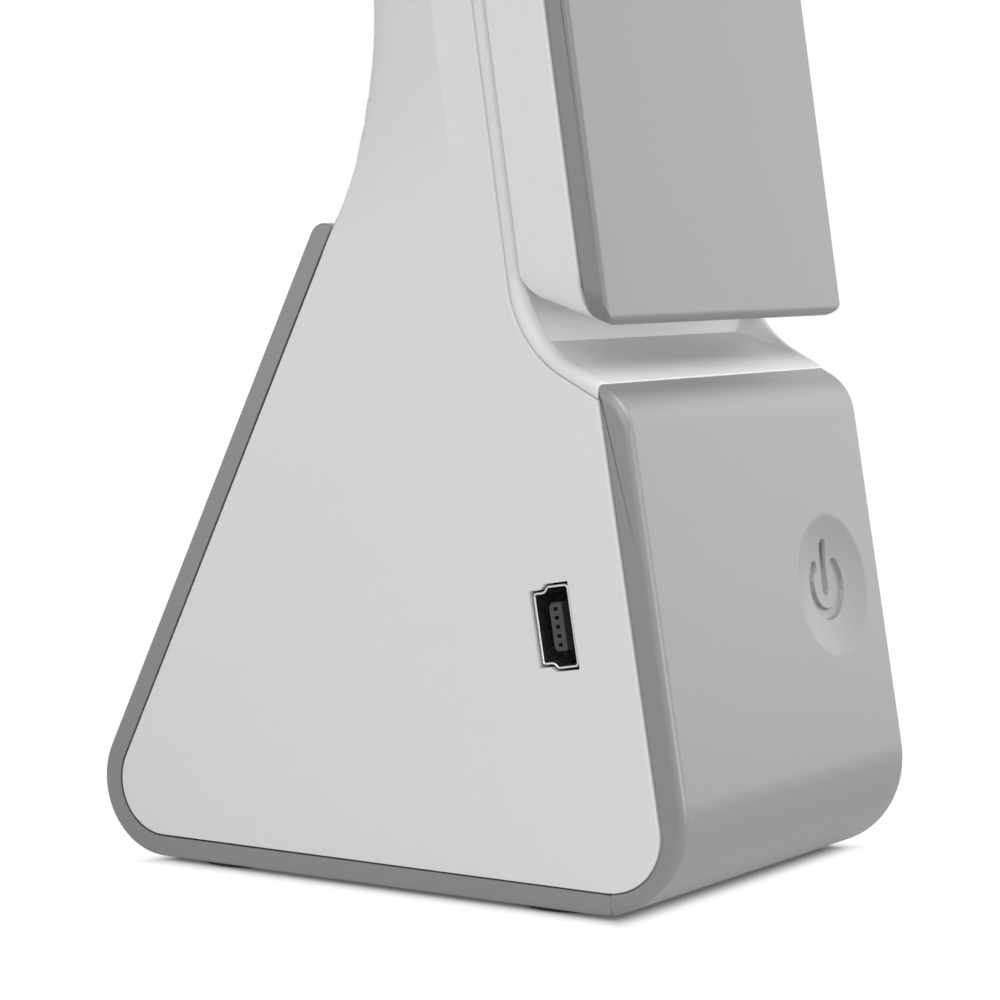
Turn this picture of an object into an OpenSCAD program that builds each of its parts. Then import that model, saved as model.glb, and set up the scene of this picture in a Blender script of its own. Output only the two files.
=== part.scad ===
// Folding LED desk lamp: a wedge base with a leaning stem, and a light head
// that hangs folded against the stem from one friction hinge at the top.
// Millimetres.  +Z is up, the touch key faces -Y, and the hinge runs along X.

/* [Base] */
// Width of the base and the stem
lamp_w = 43.6; // [42:0.2:48]
// Depth of the base on the table
base_d = 67.8; // [66:0.2:72]
// Lean of the front cover, in degrees from upright
front_tilt = 9.7; // [8:0.1:11]
// Lean of the back of the base, in degrees from upright
back_tilt = 26.3; // [25:0.1:27.5]
// Radius of the front bottom corner
front_r = 8; // [7:0.5:9]
// Radius of the rear bottom corner
rear_r = 7.4; // [7:0.2:8]
// Height at which the shelf meets the front face
shelf_z = 46.9; // [45:0.1:48]
// Rise of the shelf towards the stem, in degrees
shelf_slope = 27; // [24:1:30]
// Radius from the front face over onto the shelf
shelf_edge_r = 5; // [3:0.5:6]

/* [Walls] */
// Wall of the white mouldings
wall = 1.8; // [1.6:0.1:2.2]
// Depth of the front cover at its seam
cover_t = 2.9; // [2.7:0.1:3.4]
// Wall of the front cover between its seams
cover_wall = 2; // [1.8:0.1:2.2]
// Thickness of the bottom and back strap
strap_t = 2; // [1.8:0.1:2.4]
// Parting line between the strap and the white shell
seam_gap = 0.15; // [0.1:0.05:0.3]
// Height at which the strap ends on the back
strap_top = 63.3; // [58:0.1:64]
// Depth of the lip around the front insert
lip_t = 1.35; // [1.2:0.05:1.6]
// Width of the lip seen from the front
lip_w = 1.3; // [1.2:0.1:2]
// Depth of the recess inside the lip
recess_d = 0.7; // [0.5:0.1:1]
// Wall of the front insert behind the recess
insert_wall = 1.6; // [1.4:0.1:2]

/* [Stem] */
// Lean of the stem and the folded head, in degrees from upright
stem_tilt = 8.8; // [8:0.1:9.5]
// Where the stem's front face would meet the table
stem_foot_y = -24.85; // [-25.2:0.05:-24.5]
// Depth of the stem from its lip to its back
stem_d = 15.2; // [14.5:0.1:16.5]
// Depth of the stem's flat side behind the lip
side_flat = 5.8; // [5:0.1:6.5]
// Radius where the back of the base sweeps into the stem
flare_r = 38; // [34:1:42]
// Radius of the seam between the shelf and the stem
seam_r = 11; // [9:0.5:12]
// Length along the stem from the table to the hinge axis
hinge_s = 213; // [205:1:225]

/* [Head] */
// Width of the light head
head_w = 44.6; // [44:0.2:49]
// Thickness of the light head
head_t = 8.9; // [8.6:0.1:9.6]
// Depth of the grey cover on the head
head_cover_t = 2.5; // [2.3:0.1:2.8]
// Wall of the head's two mouldings
head_wall = 1.8; // [1.6:0.1:2]
// Gap between the folded head and the stem
head_gap = 0.3; // [0.25:0.05:0.6]
// Length along the stem from the table to the head's tip
tip_s = 52.4; // [52:0.1:56]
// Slope of the head's end face, in degrees
tip_slope = 26; // [20:1:28]
// Radius of the head's corners seen from the front
head_corner_r = 2.8; // [2:0.2:4]
// Width of the lit window
window_w = 27; // [24:1:28]
// Length of the lit window
window_l = 100; // [92:2:112]

/* [Hinge] */
// Width of the stem's knuckle between the head's two ears
knuckle_w = 20; // [19:0.5:22]
// Radius of the knuckle
knuckle_r = 7.2; // [7:0.1:7.4]
// Diameter of the hinge pins
pin_d = 5; // [4.6:0.1:5.2]
// Clearance of a pin in its bush, all round
pin_fit = 0.05; // [0.02:0.01:0.09]
// Gap between the head's ears and the stem
ear_gap = 0.35; // [0.3:0.05:0.6]

/* [Touch key] */
// Distance of the key from the middle of the lamp
key_x = 11.6; // [8:0.1:12.5]
// Height of the key along the front face
key_z = 28; // [26:0.5:30]
// Diameter of the dished key
key_d = 13.8; // [12:0.2:15]
// Depth of the dish
key_depth = 0.9; // [0.6:0.1:1]
// Radius of the engraved ring
ring_r = 2.8; // [2.4:0.1:3.2]
// Width of the engraved line
line_w = 0.8; // [0.6:0.1:1]

/* [Socket] */
// Height of the charging socket along the front face
usb_z = 28.3; // [27:0.1:30]
// Depth of the socket's middle behind the front face
usb_depth = 11.07; // [10.6:0.05:12]

/* [Inside] */
// Height of the foot pads under the base
foot_h = 0.4; // [0.3:0.1:1]
// Diameter of every small screw
screw_d = 2.2; // [2:0.1:2.4]
// Thickness of the steel ballast
ballast_t = 4.5; // [3:0.5:4.5]
// Thickness of the battery cell
cell_t = 10; // [8:0.5:10.5]

/* [Hidden] */
$fn = 64;
eps = 0.01;
shell_color = "#e4e4e4";
grey_color = "#a4a5a7";
steel_color = "#c2c4c8";
bed_z = strap_t + seam_gap;              // underside of the white shell
inner_w = lamp_w - 2 * wall;             // room between the side walls
axis_n = -head_gap / 2;                  // hinge axis, midway in the fold gap
ear_r = head_t + head_gap + axis_n;      // the ears run out into the head's front
cradle_r = ear_r + ear_gap;
notch_r = knuckle_r + ear_gap;
ear_x0 = knuckle_w / 2 + 0.3;            // inner face of an ear
head_front = -head_gap - head_t;
head_split = head_front + head_cover_t;  // seam between the grey cover and the tray
tray_in = -head_gap - head_wall;         // inner face of the tray's lit side
cover_in = head_front + head_wall;
pocket_r = 6.5;
cap_t = 2;
pocket_x0 = head_w / 2 - cap_t - 7.3;    // arm, pin head and cable lie in the pocket
arm_t = 1.5;
cavity_r = knuckle_r - 1.6;              // hollow of the knuckle
cavity_x = knuckle_w / 2 - 2;
bracket_t = 1.2;
bush_d = pin_d + 2;
bracket_gap = 1.2;                       // the bracket stands off on bosses
bracket_n = stem_d - wall - bracket_gap;
bracket_holes = [[0, hinge_s - 26], [-4.5, hinge_s - 11], [4.5, hinge_s - 11]];
washer_x = cavity_x - bracket_t;
washer_t = 0.8;
spring_h = 0.9;
nut_t = 2;
nut_x = washer_x - washer_t - spring_h - nut_t;
insert_in = recess_d + insert_wall;      // inner face of the front insert
insert_screw_z = 52;
insert_boss_y = back_y(insert_screw_z + 2.75, bed_z + wall) - 0.3;
key_pad = 1.2;
board_t = 1.2;
board_depth = usb_depth + 1.975;         // the socket's shell stands on the board
board_back = board_depth + board_t;
board_z0 = 11.5;
board_z1 = 41;
block_d = 5;                             // blocks that carry the board's screws
cable_r = 0.8;
cable_x = 2.6;                           // the two cables meet inside the hollow pin
flange = 1.4;
boss_x = lamp_w / 2 - 5.3;
boss_front_y = 15.4 - base_d / 2;
boss_rear_y = base_d / 2 - 14.4;
ballast_x = boss_x - 3.5;
ballast_screw_x = ballast_x / 2 + 1.5;
ballast_head_d = 8;
ballast_y = (boss_front_y + boss_rear_y) / 2 + 3;
cell_z = strap_t + ballast_t + 2;
pad_x = ballast_screw_x - ballast_head_d / 2 - 0.5;   // pads clear the screws' heads
cell_x = inner_w / 2 - 3;
cell_y0 = at_front(board_back + block_d, 17)[0] + 0.55;
cell_y1 = back_y(cell_z + cell_t, bed_z + wall) - 1.8;
window_s0 = tip_s + 17.6;
u_front = [sin(front_tilt), cos(front_tilt)];
u_back = [-sin(back_tilt), cos(back_tilt)];
u_stem = [sin(stem_tilt), cos(stem_tilt)];
u_shelf = [cos(shelf_slope), sin(shelf_slope)];
u_floor = [1, 0];

// ---- side-view geometry: points are [y, z] -------------------------------
function unit(v) = v / norm(v);
function cross2(u, v) = u[0] * v[1] - u[1] * v[0];
function meet(p, u, q, v) = p + u * (cross2(q - p, v) / cross2(u, v));
// y of the front face, the back face and the stem, d or n behind their surface
function front_y(z, d = 0) = -base_d / 2 + front_r
    + (d - front_r) / cos(front_tilt) + (z - front_r) * tan(front_tilt);
function back_y(z, d = 0) = base_d / 2 - rear_r
    + (rear_r - d) / cos(back_tilt) - (z - rear_r) * tan(back_tilt);
function stem_y(z, n = 0) = stem_foot_y + n / cos(stem_tilt) + z * tan(stem_tilt);
function shelf_p(d = 0) = [front_y(shelf_z), shelf_z - d / cos(shelf_slope)];
function at_stem(n, s) = [stem_foot_y + n * cos(stem_tilt) + s * sin(stem_tilt),
    s * cos(stem_tilt) - n * sin(stem_tilt)];
function at_front(d, z) = [front_y(0) + d * cos(front_tilt) + z * sin(front_tilt),
    z * cos(front_tilt) - d * sin(front_tilt)];
// corners shared by several pieces
function front_floor(d, z) = [front_y(z, d), z];
function back_floor(d, z) = [back_y(z, d), z];
function shelf_front(d, t) = meet(shelf_p(d), u_shelf, [front_y(0, t), 0], u_front);
function shelf_stem(d) = meet(shelf_p(d), u_shelf, [stem_y(0, d), 0], u_stem);
function back_stem(d, n) = meet([back_y(0, d), 0], u_back, [stem_y(0, n), 0], u_stem);

// ---- helpers ---------------------------------------------------------------
// the wedge between a corner and the arc that rounds it; wedge and arc are drawn a
// touch large, so that they cross the corner's edges instead of lying on them
module corner_bit(a, p, b, r) {
    u = unit(a - p);
    v = unit(b - p);
    h = acos(u * v) / 2;
    c = p + unit(u + v) * r / sin(h);
    reach = 1 + 0.05 / r;
    difference() {
        polygon([for (q = [p, p + u * r / tan(h), c, p + v * r / tan(h)])
            c + (q - c) * reach]);
        translate(c) circle(r + 0.0005);
    }
}

// a polygon, counter-clockwise, with a true arc of radius r[i] at each corner
module rounded(pts, r) {
    n = len(pts);
    turn = [for (i = [0:n - 1]) cross2(pts[i] - pts[(i + n - 1) % n],
        pts[(i + 1) % n] - pts[i])];
    difference() {
        union() {
            polygon(pts);
            for (i = [0:n - 1])
                if (r[i] > 0 && turn[i] < 0)
                    corner_bit(pts[(i + n - 1) % n], pts[i], pts[(i + 1) % n], r[i]);
        }
        for (i = [0:n - 1])
            if (r[i] > 0 && turn[i] > 0)
                corner_bit(pts[(i + n - 1) % n], pts[i], pts[(i + 1) % n], r[i]);
    }
}

// a side view [y, z] made solid between two places in x
module from_x(x0, x1) translate([x0, 0, 0]) rotate([90, 0, 90])
    linear_extrude(x1 - x0) children();
module across(w) from_x(-w / 2, w / 2) children();
module both_sides() {
    children();
    mirror([1, 0, 0]) children();
}
module lift() translate([0, 0, foot_h]) children();
// x, n behind the stem's lip, s along the stem
module stem_frame() lift() translate([0, stem_foot_y, 0]) rotate([-stem_tilt, 0, 0])
    children();
// x, depth behind the front face, z along the front face
module front_frame() lift() translate([0, front_y(0), 0]) rotate([-front_tilt, 0, 0])
    children();
// a bar along x about the hinge axis
module on_axis(x0, x1, r) stem_frame() translate([x0, axis_n, hinge_s])
    rotate([0, 90, 0]) cylinder(r = r, h = x1 - x0);
// a box between two corners
module block(a, b) translate(a) cube(b - a);
// a screw pointing along -Z: its head sits on z = 0
module screw(head_d, head_h, length, d = screw_d) {
    difference() {
        cylinder(d = head_d, h = head_h);
        for (a = [0, 90])
            translate([0, 0, head_h]) rotate([0, 0, a])
                cube([head_d * 0.6, 0.5, head_h], center = true);
    }
    translate([0, 0, -length]) cylinder(d = d, h = length + eps);
}

// a round wire of radius r through the points, closed at both ends
module wire(p, r, ref, sides = 8) {
    n = len(p);
    ring = [for (i = [0:n - 1])
        let(t = unit(p[min(i + 1, n - 1)] - p[max(i - 1, 0)]),
            u = unit(cross(t, ref)), v = cross(t, u))
        for (k = [0:sides - 1])
            p[i] + r * (cos(360 * k / sides) * u + sin(360 * k / sides) * v)];
    side = [for (i = [0:n - 2], k = [0:sides - 1])
        let(a = i * sides + k, b = i * sides + (k + 1) % sides)
        [a, b, b + sides, a + sides]];
    polyhedron(ring, concat([[for (k = [sides - 1:-1:0]) k]], side,
        [[for (k = [0:sides - 1]) (n - 1) * sides + k]]), convexity = 6);
}

// ---- white shell: base sides, back, stem, and the rear of the knuckle ------
shell_points = [front_floor(cover_t, bed_z), back_floor(bed_z, bed_z),
    back_stem(bed_z, stem_d), at_stem(stem_d, hinge_s), at_stem(lip_t, hinge_s),
    shelf_stem(lip_t), shelf_front(lip_t, cover_t)];
shell_radii = [front_r - 2.5, rear_r - bed_z, flare_r, 4, 0, seam_r, 0];
hollow_points = [[-base_d, bed_z + wall], back_floor(bed_z + wall, bed_z + wall),
    back_stem(bed_z + wall, stem_d - wall), at_stem(stem_d - wall, hinge_s - wall),
    at_stem(-base_d / 2, hinge_s - wall), at_stem(-base_d / 2, 0)];
hollow_radii = [0, rear_r - bed_z - wall, flare_r + wall, 2.2, 0, 0];

// the stem narrows towards its back: three flats that die out down the flare
waist = [[0, side_flat, 13, 53, 14], [0.9, side_flat + 5.3, 36, 45, 21],
    [2.9, side_flat + 8.4, 66, 45, 21]];
module waist_cut(inset) stem_frame() both_sides() for (f = waist)
    translate([lamp_w / 2 - f[0], f[1], window_s0 + f[4]]) rotate([0, 0, f[2]])
        translate([-inset, 0, 0]) rotate([90, 0, 0]) linear_extrude(60, center = true) {
            translate([f[3], 0]) circle(f[3], $fn = 180);
            square([40, hinge_s]);
        }

module ear_space(r, x0) both_sides() on_axis(x0, head_w, r);

module shell_hollow() difference() {
    lift() across(inner_w) rounded(hollow_points, hollow_radii);
    waist_cut(wall);
    ear_space(cradle_r + wall, cavity_x);
}

module lug(z) front_frame() both_sides() difference() {
    block([boss_x - 3, 6, z - 3], [inner_w / 2 + eps, 8, z + 3]);
    translate([boss_x, 5, z]) rotate([-90, 0, 0]) cylinder(d = screw_d, h = 4);
}

module board_block(side, z) front_frame() difference() {
    block([side < 0 ? -inner_w / 2 - eps : boss_x - 3.5, board_back, z - 3],
        [side < 0 ? 3.5 - boss_x : inner_w / 2 + eps, board_back + block_d, z + 3]);
    translate([side * (boss_x - 0.7), board_depth, z]) rotate([-90, 0, 0])
        cylinder(d = screw_d, h = 5.5);
}

module body_shell() color(shell_color) difference() {
    union() {
        difference() {
            union() {
                lift() across(lamp_w) rounded(shell_points, shell_radii);
                intersection() {
                    on_axis(-knuckle_w / 2, knuckle_w / 2, knuckle_r);
                    stem_frame() block([-lamp_w, lip_t, 0],
                        [lamp_w, stem_d, hinge_s + 20]);
                }
            }
            shell_hollow();
            waist_cut(0);
            on_axis(-cavity_x, cavity_x, cavity_r);
            ear_space(cradle_r, knuckle_w / 2);
        }
        lug(12);
        lug(38);
        board_block(1, 14);
        board_block(-1, 38);
        // bosses for the screws of the strap and of the hinge bracket
        lift() both_sides() for (y = [boss_front_y, boss_rear_y])
            translate([boss_x, y, bed_z]) cylinder(d = 5.5, h = 6);
        for (p = bracket_holes)
            stem_frame() translate([p[0], stem_d - wall - bracket_gap, p[1]])
                rotate([-90, 0, 0]) cylinder(d = 5, h = bracket_gap + eps);
    }
    // access to the ballast and the battery from below
    lift() block([-ballast_x - 0.4, boss_front_y, -1],
        [ballast_x + 0.4, boss_rear_y + 5, bed_z + wall + 1]);
    lift() both_sides() for (y = [boss_front_y, boss_rear_y])
        translate([boss_x, y, 0]) cylinder(d = screw_d, h = bed_z + 5.5);
    for (p = bracket_holes)
        stem_frame() translate([p[0], stem_d - wall - bracket_gap - 1, p[1]])
            rotate([-90, 0, 0]) cylinder(d = screw_d, h = bracket_gap + 2.2);
    both_sides() lift() translate([9, back_y(insert_screw_z), insert_screw_z])
        rotate([90, 0, 0]) cylinder(d = screw_d, h = 20);
    bush_holes();
    usb_body(0.2, 3);
}

module bush_holes() both_sides() on_axis(cavity_x - eps, knuckle_w / 2 + eps,
    bush_d / 2);

// ---- front insert: shelf, recessed stem front and the front of the knuckle --
module lip_band(t0, t1, foot) rounded([shelf_front(t0, foot), shelf_front(t1, foot),
    shelf_stem(t1), at_stem(t1, hinge_s), at_stem(t0, hinge_s), shelf_stem(t0)],
    [0, 0, t1 > lip_t ? 0.8 + insert_wall : seam_r, 0, 0,
        t0 > 0 ? 0.8 : seam_r - lip_t]);

module front_insert() color(shell_color) difference() {
    union() {
        difference() {
            lift() across(lamp_w) lip_band(0, lip_t, cover_t);
            lift() across(lamp_w - 2 * lip_w) polygon([shelf_front(recess_d, -9),
                shelf_stem(recess_d), at_stem(recess_d, hinge_s), at_stem(-20, hinge_s)]);
        }
        // the backing wall stops short of the cradles that the ears turn in
        difference() {
            lift() across(inner_w - 0.2) lip_band(recess_d, insert_in, cover_t);
            ear_space(cradle_r + wall + 0.1, cavity_x - 0.1);
        }
        intersection() {
            on_axis(-knuckle_w / 2, knuckle_w / 2, knuckle_r);
            stem_frame() block([-lamp_w, -20, 0], [lamp_w, lip_t, hinge_s + 20]);
        }
        // bosses reach back to the screws under the strap
        lift() both_sides() translate([9, insert_boss_y, insert_screw_z])
            rotate([90, 0, 0]) cylinder(d = 5.5,
                h = insert_boss_y - stem_y(insert_screw_z, insert_in - 0.8));
    }
    on_axis(-cavity_x, cavity_x, cavity_r);
    ear_space(cradle_r, knuckle_w / 2);
    bush_holes();
    lift() both_sides() translate([9, insert_boss_y + 1, insert_screw_z])
        rotate([90, 0, 0]) cylinder(d = screw_d, h = 10);
}

// ---- grey front cover with the dished touch key -----------------------------
module key_symbol() {
    difference() {
        circle(ring_r + line_w / 2);
        circle(ring_r - line_w / 2);
        polygon([[0, 0], [-8, 8], [8, 8]]);
    }
    for (a = [45, 135])
        translate(ring_r * [cos(a), sin(a)]) circle(d = line_w);
    translate([-line_w / 2, -0.4]) square([line_w, ring_r + 1.6]);
    for (y = [-0.4, ring_r + 1.2])
        translate([0, y]) circle(d = line_w);
}

module front_cover() color(grey_color) difference() {
    bowl_r = (pow(key_d / 2, 2) + pow(key_depth, 2)) / (2 * key_depth);
    union() {
        difference() {
            lift() across(lamp_w) rounded([[-base_d / 2 + front_r, bed_z],
                front_floor(cover_t, bed_z), shelf_front(0, cover_t), shelf_p(),
                front_floor(0, 0), [-base_d / 2 + front_r, 0]],
                [0, front_r - 2.5, 0, shelf_edge_r, front_r, 0]);
            front_frame() block([-lamp_w / 2 + cover_wall, cover_wall, front_r + 1],
                [lamp_w / 2 - cover_wall, cover_t + 1, shelf_z - 4]);
        }
        // pad behind the key, and the screw bosses
        front_frame() translate([key_x, cover_wall - eps, key_z]) rotate([-90, 0, 0])
            cylinder(d = key_d + 1, h = key_pad + eps);
        for (z = [12, 38])
            front_frame() both_sides() translate([boss_x, cover_wall - eps, z])
                rotate([-90, 0, 0]) cylinder(d = 5, h = 6 - cover_wall + eps);
    }
    front_frame() translate([key_x, key_depth - bowl_r, key_z])
        sphere(bowl_r, $fn = 200);
    front_frame() translate([key_x, key_depth + 0.3, key_z]) rotate([90, 0, 0])
        linear_extrude(4) key_symbol();
    for (z = [12, 38])
        front_frame() both_sides() translate([boss_x, cover_wall, z])
            rotate([-90, 0, 0]) cylinder(d = screw_d, h = 6);
}

// ---- grey strap: floor and back --------------------------------------------
module base_strap() color(grey_color) difference() {
    top = [back_y(strap_top), strap_top];
    union() {
        lift() across(lamp_w) rounded([[-base_d / 2 + front_r, 0], back_floor(0, 0), top,
            top + [-cos(back_tilt), -sin(back_tilt)] * strap_t,
            back_floor(strap_t, strap_t), [-base_d / 2 + front_r, strap_t]],
            [0, rear_r, strap_t * 0.8, 0, rear_r - strap_t, 0]);
        lift() both_sides() translate([ballast_screw_x, ballast_y, strap_t - eps])
            cylinder(d = 6, h = ballast_t + eps);
    }
    lift() both_sides() for (y = [boss_front_y, boss_rear_y]) translate([boss_x, y, 0]) {
        translate([0, 0, -1]) cylinder(d = 9, h = 1.7);
        cylinder(d = 5, h = 1.4);
        cylinder(d = screw_d, h = 4);
    }
    lift() both_sides() translate([ballast_screw_x, ballast_y, 1])
        cylinder(d = screw_d, h = 20);
}

module foot_pads() color("#2b2b2d") both_sides() for (y = [boss_front_y, boss_rear_y])
    translate([boss_x, y, 0]) cylinder(d = 9, h = foot_h + 0.7);

module strap_screws() color(steel_color) lift() both_sides()
    for (y = [boss_front_y, boss_rear_y])
        translate([boss_x, y, 1.4]) rotate([180, 0, 0]) screw(5, 0.7, 5.8);

module cover_screws() color(steel_color) front_frame() both_sides() for (z = [12, 38])
    translate([boss_x, 8, z]) rotate([-90, 0, 0]) screw(4.4, 1.2, 5);

// headless, so that they stay under the strap
module insert_screws() color(steel_color) lift() both_sides()
    translate([9, back_y(insert_screw_z + 2, bed_z), insert_screw_z])
        rotate([90, 0, 0]) cylinder(d = screw_d, h = 11);

// ---- charging socket ---------------------------------------------------------
// the stepped mini socket outline, [depth, z], wide towards the front
module usb_outline(grow) translate([usb_depth, usb_z]) polygon([
    [-1.975 - grow, -3.85 - grow], [0.35, -3.85 - grow], [0.75 + grow, -3.35 - grow],
    [1.975 + grow, -3.35 - grow], [1.975 + grow, 3.35 + grow], [0.75 + grow, 3.35 + grow],
    [0.35, 3.85 + grow], [-1.975 - grow, 3.85 + grow]]);
usb_x0 = -lamp_w / 2 + 0.3;
usb_l = 9;
module usb_body(grow, reach) front_frame() from_x(usb_x0 - reach, usb_x0 + usb_l)
    usb_outline(grow);

module usb_shell() color(steel_color) difference() {
    usb_body(0, 0);
    front_frame() from_x(usb_x0 - 1, usb_x0 + usb_l - 0.35) usb_outline(-0.33);
}

module usb_tongue() color("#2a2a2c") front_frame() {
    block([usb_x0 + 0.9, usb_depth - 0.6, usb_z - 2.1],
        [usb_x0 + usb_l - 2, usb_depth + 0.6, usb_z + 2.1]);
    from_x(usb_x0 + usb_l - 2 - eps, usb_x0 + usb_l - 0.35) usb_outline(-0.33);
}

module usb_contacts() color("#b8923a") front_frame() for (k = [-2:2])
    block([usb_x0 + 1.3, usb_depth + 0.6, usb_z + 0.8 * k - 0.15],
        [usb_x0 + usb_l - 2.1, usb_depth + 0.78, usb_z + 0.8 * k + 0.15]);

// ---- circuit board -------------------------------------------------------------
module on_board(x, z) front_frame() translate([x, board_depth, z]) rotate([90, 0, 0])
    children();
module main_board() color("#1f5c3a") difference() {
    front_frame() block([1 - inner_w / 2, board_depth, board_z0],
        [inner_w / 2 - 1, board_back, board_z1]);
    for (p = [[boss_x - 0.7, 14], [0.7 - boss_x, 38]])
        front_frame() translate([p[0], board_depth - 1, p[1]]) rotate([-90, 0, 0])
            cylinder(d = screw_d, h = 3);
}
module board_chips() color("#1b1b1d") {
    on_board(0, 34) translate([-2.5, -2, 0]) cube([5, 4, 1.5]);
    on_board(-4, 15) translate([-2.5, -2, 0]) cube([5, 4, 1.5]);
    on_board(-11, 19) translate([-1.5, -1.5, 0]) cube([3, 3, 1.1]);
}
module board_coil() color("#4a4a4c") on_board(5.5, 15.5) {
    translate([-3, -3, 0]) cube([6, 6, 1]);
    translate([0, 0, 1 - eps]) cylinder(d = 5.4, h = 2.4);
}
module board_capacitors() color("#b9bcc2") for (x = [4.5, 11])
    on_board(usb_x0 + usb_l + x, 25) cylinder(d = 5, h = 5.4);
module board_connectors() color("#ece6d8") for (x = [-7, 6]) difference() {
    front_frame() block([x - 3, board_back, 28], [x + 3, board_back + 4.5, 34]);
    front_frame() block([x - 2.2, board_back + 1, 30], [x + 2.2, board_back + 3.7, 35]);
}
module board_screws() color(steel_color) for (p = [[boss_x - 0.7, 14], [0.7 - boss_x, 38]])
    front_frame() translate([p[0], board_depth, p[1]]) rotate([90, 0, 0])
        screw(4, 1.2, 5);

// ---- touch spring: a plain coil between the key and the board ------------------
spring_turns = 7;
module touch_spring() color(steel_color) front_frame() wire([
    for (i = [0:spring_turns * 14]) let(a = i * 360 / 14, f = i / (spring_turns * 14))
        [key_x + 3 * cos(a), cover_wall + key_pad + 0.3
            + f * (board_depth - cover_wall - key_pad - 0.6), key_z + 3 * sin(a)]],
    0.3, [0, 1, 0], 6);

// ---- battery and ballast -----------------------------------------------------------
module battery() color("#6f7479") lift() translate([0, cell_y1, cell_z])
    rotate([90, 0, 0]) linear_extrude(cell_y1 - cell_y0)
        rounded([[-cell_x, 0], [cell_x, 0], [cell_x, cell_t], [-cell_x, cell_t]],
            [2.5, 2.5, 2.5, 2.5]);
module battery_pads() color("#3c3c3e") lift() for (y = [cell_y0 + 0.5, cell_y1 - 14.5])
    block([-pad_x, y, cell_z - 2], [pad_x, y + 12, cell_z]);
// out of the cell's end, up behind the connector and down into it
lead_path = concat(
    [for (p = [[0, 6], [-1, 6], [-2, 6.7], [-2.2, 8], [-1.6, 11]])
        [cell_y0 + p[0], cell_z + p[1]]],
    [for (p = [[4.8, 26.1], [6.6, 29.4], [6.5, 33], [5.6, 35.9], [4.1, 37.4],
        [2.8, 37.6], [2.2, 36.3], [2.3, 34.3], [2.4, 31.4]])
        at_front(board_back + p[0], p[1])]);
module battery_leads() for (x = [-8, -6]) color(x < -7 ? "#26262a" : "#b23227") lift()
    wire([for (p = lead_path) [x, p[0], p[1]]], 0.6, [1, 0, 0]);
module ballast() color("#8b8e92") lift() difference() {
    block([-ballast_x, boss_front_y + 2.5, strap_t],
        [ballast_x, boss_rear_y + 3.5, strap_t + ballast_t]);
    both_sides() translate([ballast_screw_x, ballast_y, 0]) cylinder(d = 6, h = 20);
}
module ballast_screws() color(steel_color) lift() both_sides()
    translate([ballast_screw_x, ballast_y, strap_t + ballast_t])
        screw(ballast_head_d, 1.4, ballast_t);

// ---- cable up the stem, into the hollow pin -----------------------------------------
// [x, [y, z]] from the connector to the knuckle, then [x, n, s] about the axis
cable_path = concat(
    [for (z = [30.4, 37]) [6, at_front(board_back + 2.4, z)]],
    [for (p = [[5.6, 8.2, 46], [4, 8.4, 56], [1.6, 7.8, 68], [0.2, 7.2, 80],
        [0, 7, 110], [0, 7, 150], [0, 7, hinge_s - 17]]) [p[0], at_stem(p[1], p[2])]],
    [for (p = [[0, 6.4, -10], [0, 5.4, -6.4], [0, 4.2, -3.8], [0.2, 2.7, -1.8],
        [0.7, 1.1, -0.6], [1.5, 0.2, 0], [1.9, 0, 0], [cable_x, 0, 0]])
        [p[0], at_stem(axis_n + p[1], hinge_s + p[2])]]);
module stem_cable() color("#e9e9ea") lift() wire(
    [for (p = cable_path) [p[0], p[1][0], p[1][1]]], cable_r, [0, 1, 0.2]);

// ---- friction hinge ------------------------------------------------------------------
module hinge_bracket() color(steel_color) difference() {
    union() {
        stem_frame() block([-cavity_x, bracket_n - bracket_t, hinge_s - 30],
            [cavity_x, bracket_n, hinge_s - 4]);
        both_sides() {
            stem_frame() from_x(cavity_x - bracket_t, cavity_x) polygon([
                [insert_in + 0.3, hinge_s - 4], [insert_in + 0.3, hinge_s - 17],
                [bracket_n, hinge_s - 20], [bracket_n, hinge_s - 5],
                [axis_n + 4.6, hinge_s - 2.2]]);
            on_axis(cavity_x - bracket_t, cavity_x, cavity_r - 0.4);
        }
    }
    both_sides() on_axis(cavity_x - 2 * bracket_t, knuckle_w, bush_d / 2);
    for (p = bracket_holes) stem_frame() translate([p[0], 0, p[1]]) rotate([-90, 0, 0])
        cylinder(d = screw_d, h = 30);
}
module bracket_screws() color(steel_color) for (p = bracket_holes)
    stem_frame() translate([p[0], bracket_n - bracket_t, p[1]]) rotate([90, 0, 0])
        screw(4.2, 1.2, bracket_t + bracket_gap + 0.9);
module hinge_bushes() color("#b08d3f") both_sides() difference() {
    union() {
        on_axis(cavity_x - bracket_t, knuckle_w / 2 + eps, bush_d / 2);
        on_axis(knuckle_w / 2, ear_x0, bush_d / 2 + 1);
    }
    on_axis(0, knuckle_w, pin_d / 2 + pin_fit);
}
module friction_washers() color("#53555a") both_sides() difference() {
    on_axis(washer_x - washer_t, washer_x, 5);
    on_axis(0, knuckle_w, pin_d / 2 + pin_fit);
}
module disc_springs() color(steel_color) both_sides() stem_frame()
    translate([washer_x - washer_t, axis_n, hinge_s]) rotate([0, -90, 0])
        rotate_extrude() polygon([[pin_d / 2 + 0.05, spring_h - 0.5],
            [pin_d / 2 + 0.05, spring_h], [4.6, 0.5], [4.6, 0]]);
module hinge_nuts() color(steel_color) both_sides() difference() {
    stem_frame() translate([nut_x, axis_n, hinge_s]) rotate([0, 90, 0])
        cylinder(d = 8.8, h = nut_t, $fn = 6);
    on_axis(0, knuckle_w, pin_d / 2);
}
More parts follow.
